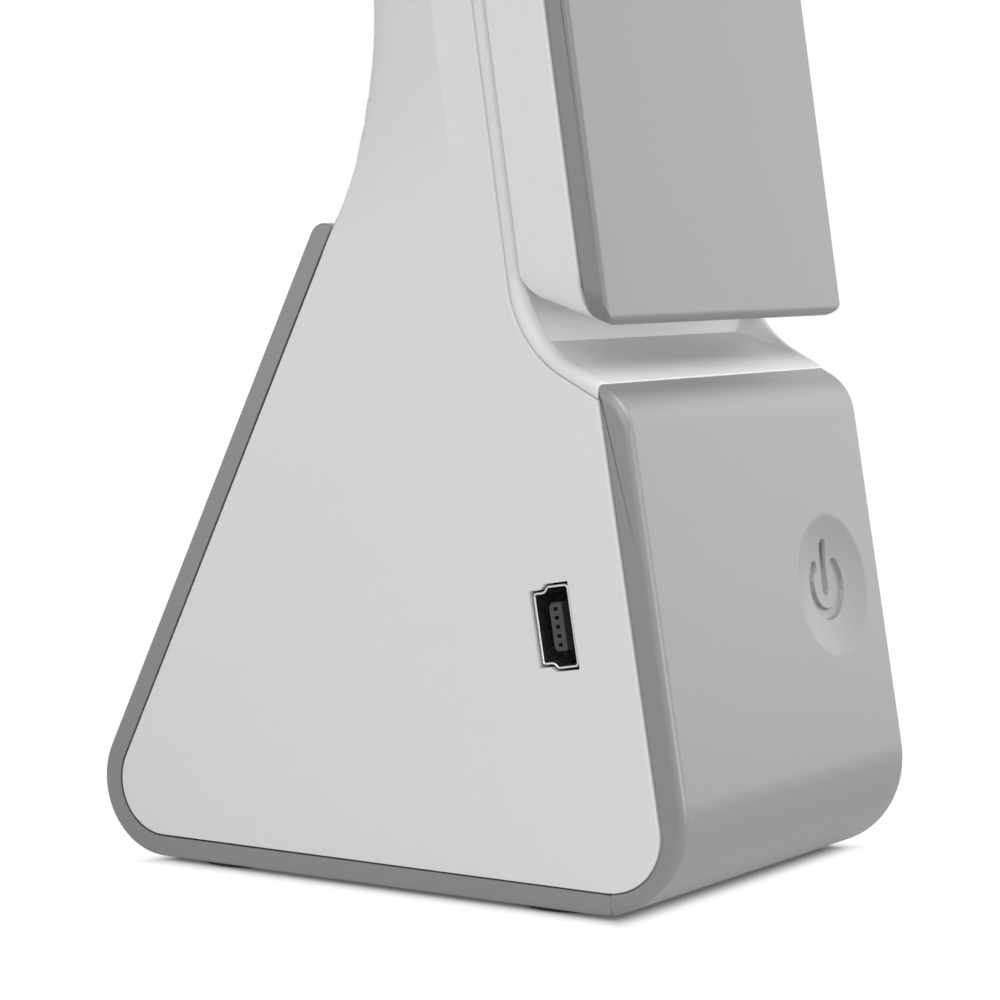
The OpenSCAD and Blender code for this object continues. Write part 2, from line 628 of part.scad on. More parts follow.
module pin_shape() difference() {
    union() {
        on_axis(nut_x, pocket_x0 + arm_t + eps, pin_d / 2);
        on_axis(pocket_x0 + arm_t, pocket_x0 + arm_t + 1.8, 4.3);
    }
    // the flat that turns the pin with the head
    stem_frame() block([ear_x0 + 0.3, -20, hinge_s + pin_d / 2 - 0.5],
        [pocket_x0 + arm_t, 20, hinge_s + 20]);
}
module hinge_pin() color(steel_color) mirror([1, 0, 0]) pin_shape();
module hollow_pin() color(steel_color) difference() {
    pin_shape();
    on_axis(0, head_w, cable_r + 0.3);
}

// ---- head ------------------------------------------------------------------------------
tip_rise = tan(tip_slope);
module head_side(inset) {
    t0 = head_front + inset;
    t1 = -head_gap - inset;
    low = tip_s + inset / cos(tip_slope);
    rounded([[t0, low + inset * tip_rise], [t1, low + (head_t - inset) * tip_rise],
        [t1, hinge_s - inset], [t0, hinge_s - inset]], [inset > 0 ? 0 : 0.9,
        inset > 0 ? 1 : 2.8, 0, 0]);
}
module head_front_view() stem_frame() translate([0, 20, 0]) rotate([90, 0, 0])
    linear_extrude(60) rounded([[-head_w / 2, tip_s], [head_w / 2, tip_s],
        [head_w / 2, hinge_s + 20], [-head_w / 2, hinge_s + 20]],
        [head_corner_r, head_corner_r, 0, 0]);
module head_solid() difference() {
    intersection() {
        union() {
            stem_frame() across(head_w) head_side(0);
            both_sides() on_axis(ear_x0, head_w / 2, ear_r);
        }
        head_front_view();
    }
    // room for the stem's knuckle
    on_axis(-ear_x0, ear_x0, notch_r);
    stem_frame() block([-ear_x0, -20, hinge_s - 4], [ear_x0, 20, hinge_s + 20]);
}
head_screw_x = head_w / 2 - 4.6;
head_screw_s = [tip_s + 10, hinge_s - 27.5];
led_screw_x = window_w / 2 + flange + 1.6;
led_screw_d = 1.6;
led_screw_s = [window_s0 + 12, window_s0 + window_l - 12];
board_n = tray_in - 2.3;
arm_n = tray_in - 2.2;
arm_screw_x = pocket_x0 - 3.5;
cavity_top = hinge_s - 12;
module head_room() difference() {
    stem_frame() across(head_w - 2 * head_wall) head_side(head_wall);
    stem_frame() block([-head_w, -20, cavity_top], [head_w, 20, hinge_s + 20]);
}
module arm_channel() stem_frame() block([pocket_x0, head_split - 2, cavity_top - 1],
    [head_w / 2 - head_wall, tray_in, hinge_s - 1]);

module head_tray() color(shell_color) difference() {
    union() {
        difference() {
            intersection() {
                head_solid();
                stem_frame() block([-head_w, head_split, 0], [head_w, 40, hinge_s + 20]);
            }
            head_room();
            stem_frame() block([-head_w / 2 + head_wall, head_split - 1,
                tip_s + 3 + head_wall], [head_w / 2 - head_wall, head_split + 0.5,
                cavity_top]);
        }
        for (s = led_screw_s) stem_frame() both_sides()
            translate([led_screw_x, tray_in + eps, s]) rotate([90, 0, 0])
                cylinder(d = 3, h = tray_in - board_n + eps);
        stem_frame() both_sides() translate([arm_screw_x, tray_in + eps, hinge_s - 20])
            rotate([90, 0, 0]) cylinder(d = 5, h = tray_in - arm_n + eps);
    }
    both_sides() on_axis(pocket_x0, head_w, pocket_r);
    both_sides() on_axis(ear_x0 - 1, head_w, pin_d / 2 + 0.1);
    intersection() {
        both_sides() arm_channel();
        head_solid();
    }
    stem_frame() block([-window_w / 2, tray_in - 1, window_s0],
        [window_w / 2, 1, window_s0 + window_l]);
    for (s = led_screw_s) stem_frame() both_sides() translate([led_screw_x, -1.1, s])
        rotate([90, 0, 0]) cylinder(d = led_screw_d, h = 10);
    stem_frame() both_sides() translate([arm_screw_x, -1, hinge_s - 20])
        rotate([90, 0, 0]) cylinder(d = screw_d, h = 10);
    for (s = head_screw_s) stem_frame() both_sides() translate([head_screw_x, 1, s])
        rotate([90, 0, 0]) {
            cylinder(d = screw_d, h = 10);
            cylinder(d = 4.2, h = 1 + head_gap + 1.2);
        }
}

module head_cover() color(grey_color) difference() {
    union() {
        difference() {
            intersection() {
                head_solid();
                stem_frame() block([-head_w, -20, 0],
                    [head_w, head_split, hinge_s + 20]);
            }
            stem_frame() block([-head_w / 2 + head_wall, cover_in,
                tip_s + 3 + head_wall], [head_w / 2 - head_wall, 0, cavity_top]);
        }
        for (s = head_screw_s) stem_frame() both_sides()
            translate([head_screw_x, tray_in, s]) rotate([90, 0, 0])
                cylinder(d = 4.6, h = tray_in - cover_in + eps);
    }
    for (s = head_screw_s) stem_frame() both_sides() translate([head_screw_x, 0, s])
        rotate([90, 0, 0]) cylinder(d = screw_d, h = 6.5);
    both_sides() on_axis(pocket_x0, head_w, pocket_r);
}

module head_screws() color(steel_color) for (s = head_screw_s) stem_frame() both_sides()
    translate([head_screw_x, -head_gap - 1.2, s]) rotate([-90, 0, 0]) screw(4.2, 0.9, 4.8);

module diffuser() color("#f4f4f0") stem_frame() {
    block([-window_w / 2, tray_in - eps, window_s0],
        [window_w / 2, -head_gap - 0.2, window_s0 + window_l]);
    block([-window_w / 2 - flange, tray_in - 0.9, window_s0 - flange],
        [window_w / 2 + flange, tray_in, window_s0 + window_l + flange]);
}
module reflector() color("#f7f7f7") stem_frame() difference() {
    block([-window_w / 2 - flange, board_n, window_s0 - flange],
        [window_w / 2 + flange, tray_in - 0.9, window_s0 + window_l + flange]);
    block([-window_w / 2, board_n - 1, window_s0],
        [window_w / 2, tray_in, window_s0 + window_l]);
}
module led_board() color("#e9ebec") stem_frame() difference() {
    block([-head_w / 2 + head_wall + 0.3, board_n - 1, window_s0],
        [head_w / 2 - head_wall - 0.3, board_n, window_s0 + window_l]);
    for (s = led_screw_s) both_sides() translate([led_screw_x, 1, s]) rotate([90, 0, 0])
        cylinder(d = led_screw_d, h = 10);
}
led_rows = 12;
module leds() color("#f2d982") stem_frame() both_sides() for (k = [0:led_rows - 1])
    translate([6.5, board_n, window_s0 + (k + 0.5) * window_l / led_rows])
        rotate([-90, 0, 0]) translate([-1.4, -1.75, 0]) cube([2.8, 3.5, 0.8]);
module led_board_screws() color(steel_color) for (s = led_screw_s) stem_frame()
    both_sides() translate([led_screw_x, board_n - 1, s]) rotate([90, 0, 0])
        screw(2.8, 0.7, 4.2, led_screw_d);

module head_arms() color(steel_color) both_sides() difference() {
    union() {
        on_axis(pocket_x0, pocket_x0 + arm_t, pocket_r - 0.4);
        stem_frame() block([pocket_x0, arm_n - 1.5, hinge_s - 24],
            [pocket_x0 + arm_t, tray_in - 0.2, hinge_s]);
        stem_frame() block([arm_screw_x - 3, arm_n - arm_t, hinge_s - 24],
            [pocket_x0 + arm_t, arm_n, hinge_s - 14]);
    }
    intersection() {
        on_axis(0, head_w, pin_d / 2);
        stem_frame() block([0, -20, 0], [head_w, 20, hinge_s + pin_d / 2 - 0.5]);
    }
    stem_frame() translate([arm_screw_x, 0, hinge_s - 20]) rotate([90, 0, 0])
        cylinder(d = screw_d, h = 10);
}
module arm_screws() color(steel_color) stem_frame() both_sides()
    translate([arm_screw_x, arm_n - arm_t, hinge_s - 20]) rotate([90, 0, 0])
        screw(4, 0.9, arm_t + 3);
module hinge_caps() color(shell_color) both_sides()
    on_axis(head_w / 2 - cap_t, head_w / 2, pocket_r);

// along the pin, down beside the arm, between the arm and the screw boss, and
// onto the back of the LED board
cable_end = window_s0 + window_l - 5;
arm_side = pocket_x0 + arm_t;
module head_cable() color("#e9e9ea") stem_frame() wire(concat(
    [for (p = [[cable_x, 0, 0], [9, 0, 0]]) [p[0], axis_n, hinge_s]],
    [for (p = [[1.9, 0, 0], [2.9, -0.2, -0.3], [3.6, -0.9, -1.4], [3.8, -2.3, -3.7],
        [3.8, -3.5, -7.5], [3.8, -4, -12], [3.6, -4.2, -19], [2.2, -4.9, -23.5],
        [-0.3, -5.7, -26.4], [-1.6, -6.2, -28.8]])
        [arm_side + p[0], axis_n + p[1], hinge_s + p[2]]],
    [[arm_side - 1.9, board_n - 1.95, hinge_s - 32],
        [arm_side - 2, board_n - 1.95, cable_end]]), cable_r, [0.1, 1, 0]);

body_shell();
front_insert();
front_cover();
base_strap();
foot_pads();
strap_screws();
cover_screws();
insert_screws();
usb_shell();
usb_tongue();
usb_contacts();
main_board();
board_chips();
board_coil();
board_capacitors();
board_connectors();
board_screws();
touch_spring();
battery();
battery_pads();
battery_leads();
ballast();
ballast_screws();
stem_cable();
hinge_bracket();
bracket_screws();
hinge_bushes();
friction_washers();
disc_springs();
hinge_nuts();
hinge_pin();
hollow_pin();
head_arms();
arm_screws();
hinge_caps();
head_tray();
head_cover();
diffuser();
reflector();
led_board();
leds();
led_board_screws();
head_screws();
head_cable();
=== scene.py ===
"""Finished look of a folding desk lamp: a wedge base with a leaning stem, and a light
head folded flat against the stem.  Every outer skin is worked out as a surface in
millimetres, laid over the fixed frame, and given a moulded, metal or board finish."""

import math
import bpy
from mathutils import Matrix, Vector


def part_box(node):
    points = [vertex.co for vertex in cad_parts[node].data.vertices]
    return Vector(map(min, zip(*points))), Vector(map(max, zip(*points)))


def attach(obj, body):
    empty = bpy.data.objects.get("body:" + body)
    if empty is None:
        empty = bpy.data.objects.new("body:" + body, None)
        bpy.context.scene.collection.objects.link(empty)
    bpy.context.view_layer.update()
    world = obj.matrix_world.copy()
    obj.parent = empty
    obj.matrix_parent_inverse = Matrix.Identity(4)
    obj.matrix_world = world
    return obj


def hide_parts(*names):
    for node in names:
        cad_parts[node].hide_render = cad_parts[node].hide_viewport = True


bl_info = {
    "name": "Folding desk lamp",
    "version": (1, 0, 0),
    "blender": (4, 5, 0),
    "location": "3D View > Sidebar > Desk Lamp",
    "description": "Builds the skins, finishes and stage of a folding desk lamp",
    "category": "Object",
}

from contextlib import contextmanager

import bmesh
import bpy
import numpy as np
from bpy.props import FloatProperty, FloatVectorProperty, PointerProperty
from bpy.types import Operator, Panel, PropertyGroup
from mathutils import Matrix, Vector

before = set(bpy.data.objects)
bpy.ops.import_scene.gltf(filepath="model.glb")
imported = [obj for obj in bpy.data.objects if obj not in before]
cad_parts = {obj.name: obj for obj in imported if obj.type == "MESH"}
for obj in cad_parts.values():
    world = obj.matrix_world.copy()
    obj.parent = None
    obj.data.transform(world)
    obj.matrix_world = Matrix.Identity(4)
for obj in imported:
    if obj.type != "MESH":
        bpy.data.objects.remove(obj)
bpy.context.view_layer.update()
MM = 0.001


# ---- sizes read from the frame, in millimetres --------------------------------
def box_mm(node):
    """Lowest and highest corner of a CAD node, in millimetres."""
    low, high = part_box(node)
    return np.array(low) / MM, np.array(high) / MM


SHELL, STRAP, COVER, HEAD = (box_mm(node) for node in (
    "body_shell", "base_strap", "front_cover", "head_tray"))


# ---- what a user would change --------------------------------------------------
def length(name, description, default):
    """A size in millimetres, kept as a property."""
    return FloatProperty(name=name, description=description, default=default, precision=3)


def angle(name, description, degrees):
    """An angle, kept as a property in radians."""
    return FloatProperty(name=name, description=description, subtype="ANGLE",
                         default=math.radians(degrees))


def tint(name, description, default):
    """A colour, kept as a property."""
    return FloatVectorProperty(name=name, description=description, subtype="COLOR",
                               size=3, min=0.0, max=1.0, default=default)


class LampSizes(PropertyGroup):
    """Form of the lamp, in millimetres and degrees, as the frame has it."""

    front_tilt: angle("Front lean", "Lean of the front cover from upright", 9.7)
    back_tilt: angle("Back lean", "Lean of the strap's back from upright", 26.3)
    stem_tilt: angle("Stem lean", "Lean of the stem from upright", 8.8)
    shelf_slope: angle("Shelf rise", "Rise of the shelf towards the stem", 27.0)
    tip_slope: angle("Tip slope", "Slope of the head's end face", 26.0)
    front_r: length("Front corner", "Radius of the front bottom corner", 8.0)
    foot_r: length("Front foot", "Radius of the cover's skin at the front bottom", 9.4)
    rear_r: length("Rear corner", "Radius of the rear bottom corner", 7.4)
    shelf_z: length("Shelf height", "Height where shelf and front face meet", 46.9)
    shelf_edge_r: length("Shelf edge", "Radius from the front face onto the shelf", 5.0)
    cover_t: length("Cover depth", "Depth of the front cover at its seam", 2.9)
    strap_t: length("Strap", "Thickness of the strap", 2.0)
    cover_drop: length("Cover drop", "How far the cover lies under the shelf", 0.22)
    seam_gap: length("Strap seam", "Parting line of strap and shell", 0.15)
    strap_top: length("Strap top", "Height where the strap ends on the back", 63.3)
    stem_foot_y: length("Stem foot", "Where the stem's front meets the table", -24.85)
    stem_d: length("Stem depth", "Depth of the stem from lip to back", 15.2)
    side_flat: length("Side flat", "Depth of the stem's flat side", 5.8)
    stem_full: length("Full stem", "Length along the stem where its section is full", 91.0)
    flare_r: length("Flare", "Radius where the back sweeps into the stem", 38.0)
    seam_r: length("Shelf fillet", "Radius of the seam between shelf and stem", 11.0)
    hinge_s: length("Hinge", "Length along the stem to the hinge axis", 213.0)
    axis_n: length("Hinge depth", "Hinge axis behind the stem's front", -0.15)
    ear_r: length("Ear", "Radius of the head's ears", 9.05)
    cradle_gap: length("Cradle gap", "Gap between an ear and its cradle", 0.35)
    knuckle_w: length("Knuckle width", "Width of the stem's knuckle", 20.0)
    knuckle_r: length("Knuckle", "Radius of the knuckle", 7.2)
    head_t: length("Head thickness", "Thickness of the light head", 8.9)
    head_gap: length("Head gap", "Gap between the folded head and the stem", 0.3)
    head_cover_t: length("Head cover", "Depth of the grey cover on the head", 2.5)
    tip_s: length("Head tip", "Length along the stem to the head's tip", 52.4)
    head_corner_r: length("Head corners", "Radius of the head's corners", 2.8)
    lip_t: length("Lip depth", "Depth of the lip round the insert", 1.35)
    lip_w: length("Lip width", "Width of the lip seen from the front", 1.3)
    recess_d: length("Recess", "Depth of the recess inside the lip", 0.7)
    recess_foot: length("Recess foot", "Depth of the recess where it meets the cover", 0.12)
    recess_run: length("Recess run", "Length of shelf over which the recess deepens", 9.0)
    insert_t: length("Insert depth", "Depth of the insert's backing", 2.3)
    key_x: length("Key place", "Distance of the key from the middle", 11.6)
    key_z: length("Key height", "Height of the key along the front face", 28.0)
    key_d: length("Key", "Diameter of the dished key", 13.8)
    key_depth: length("Key dish", "Depth of the dish", 0.9)
    usb_x: length("Socket mouth", "Where the socket's mouth lies across the lamp", -21.5)
    usb_z: length("Socket height", "Height of the socket along the front face", 28.3)
    usb_depth: length("Socket depth", "Depth of the socket behind the front face", 11.07)
    usb_wall: length("Socket wall", "Thickness of the socket's steel", 0.24)
    ring_r: length("Ring", "Radius of the engraved ring", 2.8)
    line_w: length("Line", "Width of the engraved line", 1.0)
    line_d: length("Line depth", "Depth of the engraved line", 0.34)


class LampEdges(PropertyGroup):
    """Roundings of the mouldings, in millimetres."""

    grey_arris: length("Cover arris", "Rounding of the front cover's long edges", 0.85)
    head_arris: length("Head arris", "Rounding of the head cover's long edges", 0.4)
    strap_arris: length("Strap arris", "Rounding of the strap's outer edges", 0.3)
    tray_arris: length("Tray arris", "Rounding of the head tray's rear edges", 0.25)
    lip_arris: length("Lip arris", "Rounding of the lip's outer edge", 1.0)
    seam: length("Seam", "Rounding of the edges along a parting line", 0.32)
    joint: length("Joint", "Rounding of the edges where strap and cover meet", 0.02)
    skin: length("Skin", "How far a skin lies under the frame's surface", 0.02)


class LampColours(PropertyGroup):
    """Colours of the finishes."""

    white: tint("White", "White mouldings", (0.81, 0.81, 0.81))
    grey: tint("Grey", "Grey mouldings", (0.23, 0.23, 0.231))
    black: tint("Black", "Black plastic and rubber", (0.018, 0.018, 0.02))
    steel: tint("Steel", "Plated steel", (0.6, 0.61, 0.63))
    brass: tint("Brass", "Brass and gold contacts", (0.72, 0.52, 0.22))
    board: tint("Board", "Green solder mask", (0.012, 0.11, 0.045))
    glow: tint("LED", "Phosphor of the LEDs", (0.85, 0.66, 0.18))


# ---- outlines --------------------------------------------------------------------
SHARP = 0.2  # sine of the turn from which a corner counts as sharp, not as a curve
LEVEL = np.array([1.0, 0.0])  # direction [y, z] of a level line
JOINT_GAP = 0.01  # how far strap and cover end short of the line where they meet


def unit(v):
    """A vector divided by its length."""
    return v / np.linalg.norm(v)


def up_from(tilt):
    """Direction [y, z] of a line that leans by tilt from upright."""
    return np.array([math.sin(tilt), math.cos(tilt)])


def right_of(u):
    """Direction [y, z] at a right angle to u, clockwise."""
    return np.array([u[1], -u[0]])


def cross(u, v):
    """Cross product of vectors [y, z], for arrays too."""
    return u[..., 0] * v[..., 1] - u[..., 1] * v[..., 0]


def meet(p, u, q, v):
    """Crossing point of the line through p along u and the line through q along v."""
    return p + u * cross(q - p, v) / cross(u, v)


def arris(radius, t):
    """How far a rounded edge falls short both ways, t round its quarter circle."""
    return radius * (1 - np.cos(t)), radius * (1 - np.sin(t))


def at_x(x, yz):
    """Points [x, y, z] from points [y, z] and their x, one for all or one each."""
    return np.concatenate([np.broadcast_to(x, yz.shape[:-1])[..., None], yz], -1)


def rounded(points, radii, closed=True, step=5.0):
    """Outline whose corners give way to arcs that touch both edges of the corner.
    Returns the points and, for each, how far round the outline it lies, counted in
    corners: a point on the arc of corner i runs from i - 0.25 to i + 0.25."""
    points = np.asarray(points, float)
    count = len(points)
    parts, marks = [], []
    for i in range(count):
        if radii[i] <= 0 or (not closed and i in (0, count - 1)):
            parts.append(points[i][None])
            marks.append(np.array([float(i)]))
            continue
        a = unit(points[i - 1] - points[i])
        b = unit(points[(i + 1) % count] - points[i])
        half = 0.5 * math.acos(np.clip(a @ b, -1, 1))
        centre = points[i] + unit(a + b) * radii[i] / math.sin(half)
        start = points[i] + a * radii[i] / math.tan(half) - centre
        end = points[i] + b * radii[i] / math.tan(half) - centre
        first = math.atan2(start[1], start[0])
        sweep = math.remainder(math.atan2(end[1], end[0]) - first, 2 * math.pi)
        pieces = 2 * max(1, math.ceil(abs(math.degrees(sweep)) / step / 2 - 1e-6))
        share = np.linspace(0, 1, pieces + 1)
        turn = first + sweep * share
        parts.append(centre + radii[i] * np.c_[np.cos(turn), np.sin(turn)])
        marks.append(i - 0.25 + 0.5 * share)
    return np.vstack(parts), np.concatenate(marks)


def drawn_in(outline, offsets):
    """Closed counter-clockwise outline moved inwards, each edge by its own offset: a
    sharp corner goes to the crossing of its two moved edges, a point on a curve along
    its mitre by the mean of the two offsets."""
    after = np.roll(outline, -1, 0) - outline
    after /= np.linalg.norm(after, axis=1)[:, None]
    inward = np.c_[-after[:, 1], after[:, 0]]
    before, e_before = np.roll(inward, 1, 0), np.roll(offsets, 1)
    turned = cross(before, inward)
    sharp = abs(turned) > SHARP
    exact = np.c_[e_before * inward[:, 1] - offsets * before[:, 1],
                  offsets * before[:, 0] - e_before * inward[:, 0]]
    exact /= np.where(sharp, turned, 1)[:, None]
    mitre = before + inward
    mitre *= ((e_before + offsets) / (mitre ** 2).sum(1))[:, None]
    return outline + np.where(sharp[:, None], exact, mitre)


def smooth(x):
    """Smooth step from 0 to 1 as x goes from 0 to 1."""
    x = np.clip(x, 0, 1)
    return x * x * (3 - 2 * x)


# ---- the lamp's side view, points are [y, z] in the frame's millimetres ----------
class Form:
    """Lines and corners of the side view, from the sizes."""

    def __init__(self, sizes):
        self.s = sizes
        self.lift = STRAP[0][2]
        self.half, self.head_half = SHELL[1][0], HEAD[1][0]
        depth = STRAP[1][1] - COVER[0][1]
        self.front = np.array([-depth / 2 + sizes.front_r, sizes.front_r])
        self.back = np.array([depth / 2 - sizes.rear_r, sizes.rear_r])
        self.u_front = up_from(sizes.front_tilt)
        self.u_back = up_from(-sizes.back_tilt)
        self.u_stem = up_from(sizes.stem_tilt)
        self.u_shelf = np.array([math.cos(sizes.shelf_slope), math.sin(sizes.shelf_slope)])
        self.bed = sizes.strap_t + sizes.seam_gap
        self.seam_foot_r = sizes.front_r - 2.5

    def raised(self, points):
        """The same points on the foot pads."""
        return np.asarray(points) + [0, self.lift]

    def front_at(self, z, d=0.0):
        """Point of the front face at height z, d behind it."""
        tilt = self.s.front_tilt
        y = self.front[0] + (d - self.s.front_r) / math.cos(tilt)
        return np.array([y + (z - self.s.front_r) * math.tan(tilt), z])

    def panel(self, d, z):
        """Point d behind the front face and z up along it, for arrays too."""
        return self.front_at(0) + np.multiply.outer(z, self.u_front) \
            + np.multiply.outer(d, right_of(self.u_front))

    def back_at(self, z, d=0.0):
        """Point of the back face at height z, d inside it."""
        tilt = self.s.back_tilt
        y = self.back[0] + (self.s.rear_r - d) / math.cos(tilt)
        return np.array([y - (z - self.s.rear_r) * math.tan(tilt), z])

    def stem(self, n, s):
        """Point n behind the stem's front and s along it, for arrays too."""
        sin, cos = math.sin(self.s.stem_tilt), math.cos(self.s.stem_tilt)
        return np.stack([self.s.stem_foot_y + n * cos + s * sin, s * cos - n * sin], -1)

    def about_hinge(self, turn, radius):
        """Points on a circle about the hinge axis, turned from the stem's depth."""
        return self.stem(self.s.axis_n + radius * np.cos(turn),
                         self.s.hinge_s + radius * np.sin(turn))

    def stem_place(self, points):
        """Depth n behind the stem's front and length s along it, of points [y, z]."""
        sin, cos = math.sin(self.s.stem_tilt), math.cos(self.s.stem_tilt)
        y, z = points[..., 0] - self.s.stem_foot_y, points[..., 1]
        return y * cos - z * sin, y * sin + z * cos

    def shelf(self, d=0.0):
        """A point on the shelf, d under its surface."""
        top = self.front_at(self.s.shelf_z)
        return top - [0, d / math.cos(self.s.shelf_slope)]

    def shelf_front(self, d, t):
        """Corner of the shelf, d deep, with the front face, t deep."""
        return meet(self.shelf(d), self.u_shelf, self.front_at(0, t), self.u_front)

    def shelf_stem(self, d):
        """Corner of the shelf and the stem, both d deep."""
        return meet(self.shelf(d), self.u_shelf, self.stem(d, 0.0), self.u_stem)

    def back_stem(self, d, n):
        """Corner of the back, d deep, with the stem's plane n."""
        return meet(self.back_at(0, d), self.u_back, self.stem(n, 0.0), self.u_stem)


# ---- meshes ------------------------------------------------------------------------
def added(name, data):
    """A new object of the scene, from a mesh, light or camera."""
    thing = bpy.data.objects.new(name, data)
    bpy.context.scene.collection.objects.link(thing)
    return thing


@contextmanager
def edited(mesh, *sources):
    """A mesh to be edited, filled from other meshes where they are given."""
    work = bmesh.new()
    for source in sources or (mesh,):
        work.from_mesh(source)
    yield work
    work.to_mesh(mesh)
    work.free()


def new_piece(name, points, faces):
    """A mesh object from points in millimetres, closed faces turned outwards."""
    mesh = bpy.data.meshes.new(name)
    mesh.from_pydata((np.asarray(points) * MM).tolist(), [], faces)
    with edited(mesh) as work:
        bmesh.ops.remove_doubles(work, verts=work.verts, dist=2e-7)
        bmesh.ops.recalc_face_normals(work, faces=work.faces)
    return added(name, mesh)


def ring_faces(rings, points):
    """Quads between neighbouring closed rings, and a cap on the first and last ring."""
    ring, place = np.meshgrid(np.arange(rings - 1), np.arange(points), indexing="ij")
    here, there = ring * points + place, ring * points + (place + 1) % points
    quads = np.stack([here, there, there + points, here + points], -1).reshape(-1, 4)
    last = (rings - 1) * points
    return quads.tolist() + [list(range(points))[::-1], list(range(last, last + points))]


def carried(name, rings):
    """A closed solid from an array of closed rings, (ring, point, xyz)."""
    rings = np.asarray(rings)
    return new_piece(name, rings.reshape(-1, 3), ring_faces(*rings.shape[:2]))


def plate(name, outline, rims, half, columns=(), shift=None, inset=None):
    """Plate of a side outline between x = -half and half.  Near a side it is turned
    through a quarter circle t: an edge with rim r draws in by r * (1 - sin t) and ends
    r * (1 - cos t) short of the side.  rims holds one r for each point's next edge;
    shift(x, points) may move the points of the columns between the rims, and
    inset(share) may give the outline drawn in by a share of the rims."""
    rims = np.asarray(rims, float)
    before, after = outline - np.roll(outline, 1, 0), np.roll(outline, -1, 0) - outline
    length = np.linalg.norm(after, axis=1)
    turned = abs(cross(before, after)) / (np.linalg.norm(before, axis=1) * length)
    last, sharp = np.roll(rims, 1), turned > SHARP
    at_point = np.where(sharp, np.maximum(rims, last), (rims + last) / 2)
    # a point beside each sharp corner keeps a wide rim off the narrow one next to it
    places = np.arange(len(outline))
    ahead = places + last / length
    behind = (places - rims / np.roll(length, 1)) % len(outline)
    uneven = sharp & (abs(rims - last) > 0.05)
    spots = np.sort(np.where(rims < last, ahead, behind)[uneven])
    edge = spots.astype(int)
    at_point = np.insert(at_point, edge + 1, rims[edge])

    def with_spots(points):
        """The same outline with the points beside its sharp corners."""
        way = (np.roll(points, -1, 0) - points)[edge]
        return np.insert(points, edge + 1, points[edge] + way * (spots - edge)[:, None], 0)

    side = []
    for t in np.linspace(0, math.pi / 2, 7):
        short, share = arris(1, t)
        yz = drawn_in(outline, rims * share) if inset is None else inset(share)
        side.append(at_x(half - at_point * short, with_spots(yz)))
    side = np.array(side)
    middle = [at_x(x, with_spots(outline if shift is None else shift(x, outline)))
              for x in columns]
    return carried(name, [*(side * [-1, 1, 1]), *middle, *side[::-1]])


def drum(form, x0, x1, radius, sides=128):
    """A round bar about the hinge axis from x0 to x1."""
    yz = form.about_hinge(np.linspace(0, 2 * math.pi, sides, endpoint=False), radius)
    return carried("drum", [at_x(x, form.raised(yz)) for x in (x0, x1)])


def copy_of(node):
    """A merged copy of a CAD node's mesh, to be worked on."""
    mesh = bpy.data.meshes.new(node + "_work")
    with edited(mesh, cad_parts[node].data) as work:
        bmesh.ops.remove_doubles(work, verts=work.verts, dist=1e-7)
    return added(node + "_work", mesh)


def combine(piece, tool, operation):
    """Cuts, joins or crosses a piece with a tool solid, and removes the tool."""
    cut = piece.modifiers.new("cut", "BOOLEAN")
    cut.object, cut.operation, cut.solver = tool, operation, "MANIFOLD"
    bpy.context.view_layer.update()
    result = bpy.data.meshes.new_from_object(
        piece.evaluated_get(bpy.context.evaluated_depsgraph_get()))
    if len(result.polygons) < 6:
        raise RuntimeError(f"{piece.name}: nothing is left after {operation}")
    piece.modifiers.clear()
    piece.data = result
    bpy.data.objects.remove(tool)
    return piece


def under_skin(node, skin, room=None, half=19.6):
    """A CAD node's inside with a new outer skin: what its copy and the skin share.
    room is the side outline of a space behind the skin where bosses are kept."""
    if room is not None:
        combine(skin, carried("room", [at_x(x, room) for x in (-half, half)]), "UNION")
    return combine(skin, copy_of(node), "INTERSECT")


def joined(piece, *others):
    """Several shells kept as one piece."""
    with edited(piece.data, *(part.data for part in (piece, *others))):
        for part in others:
            bpy.data.objects.remove(part)
    return piece


def without_slivers(mesh):
    """Splits the many-sided faces and takes away what has no area."""
    with edited(mesh) as work:
        bmesh.ops.triangulate(work, faces=[f for f in work.faces if len(f.verts) > 4])
        bmesh.ops.dissolve_degenerate(work, dist=1e-6, edges=work.edges)


def each(parts, key, kind=float, width=1):
    """One value of every part of a mesh, in rows where the value has a width."""
    values = np.empty(len(parts) * width, kind)
    parts.foreach_get(key, values)
    return values if width == 1 else values.reshape(-1, width)


def even_normals(mesh, crisp):
    """Corner normals: the mean of the faces round the corner's point that turn less than
    crisp from the corner's own face, each weighed by the area of its whole plane."""
    point, faces = each(mesh.loops, "vertex_index", int), mesh.polygons
    total, area = each(faces, "loop_total", int), each(faces, "area")
    normal, centre = (each(faces, key, width=3) for key in ("normal", "center"))
    corners, count = len(point), len(total)
    # faces in one plane: the same direction to 1 in 500, the same distance to 0.02 mm
    key = np.c_[np.round(normal * 500), np.round((normal * centre).sum(1) * 5e4)]
    plane = np.unique(key, axis=0, return_inverse=True)[1].ravel()
    weight = np.bincount(plane, area)[plane]
    face = np.repeat(np.arange(count), total)
    # every pair of corners a, b that share a point
    order = np.argsort(point, kind="stable")
    size = np.bincount(point)
    pairs = size[point[order]]
    a = np.repeat(order, pairs)
    step = np.arange(len(a)) - np.repeat(np.cumsum(pairs) - pairs, pairs)
    b = order[np.repeat((np.cumsum(size) - size)[point[order]], pairs) + step]
    near = (normal[face[a]] * normal[face[b]]).sum(1) > math.cos(crisp)
    share = (weight[face[b]] * near)[:, None] * normal[face[b]]
    mean = np.stack([np.bincount(a, share[:, k], corners) for k in range(3)], -1)
    mean /= np.maximum(np.linalg.norm(mean, axis=1), 1e-20)[:, None]
    mesh.normals_split_custom_set(mean.tolist())


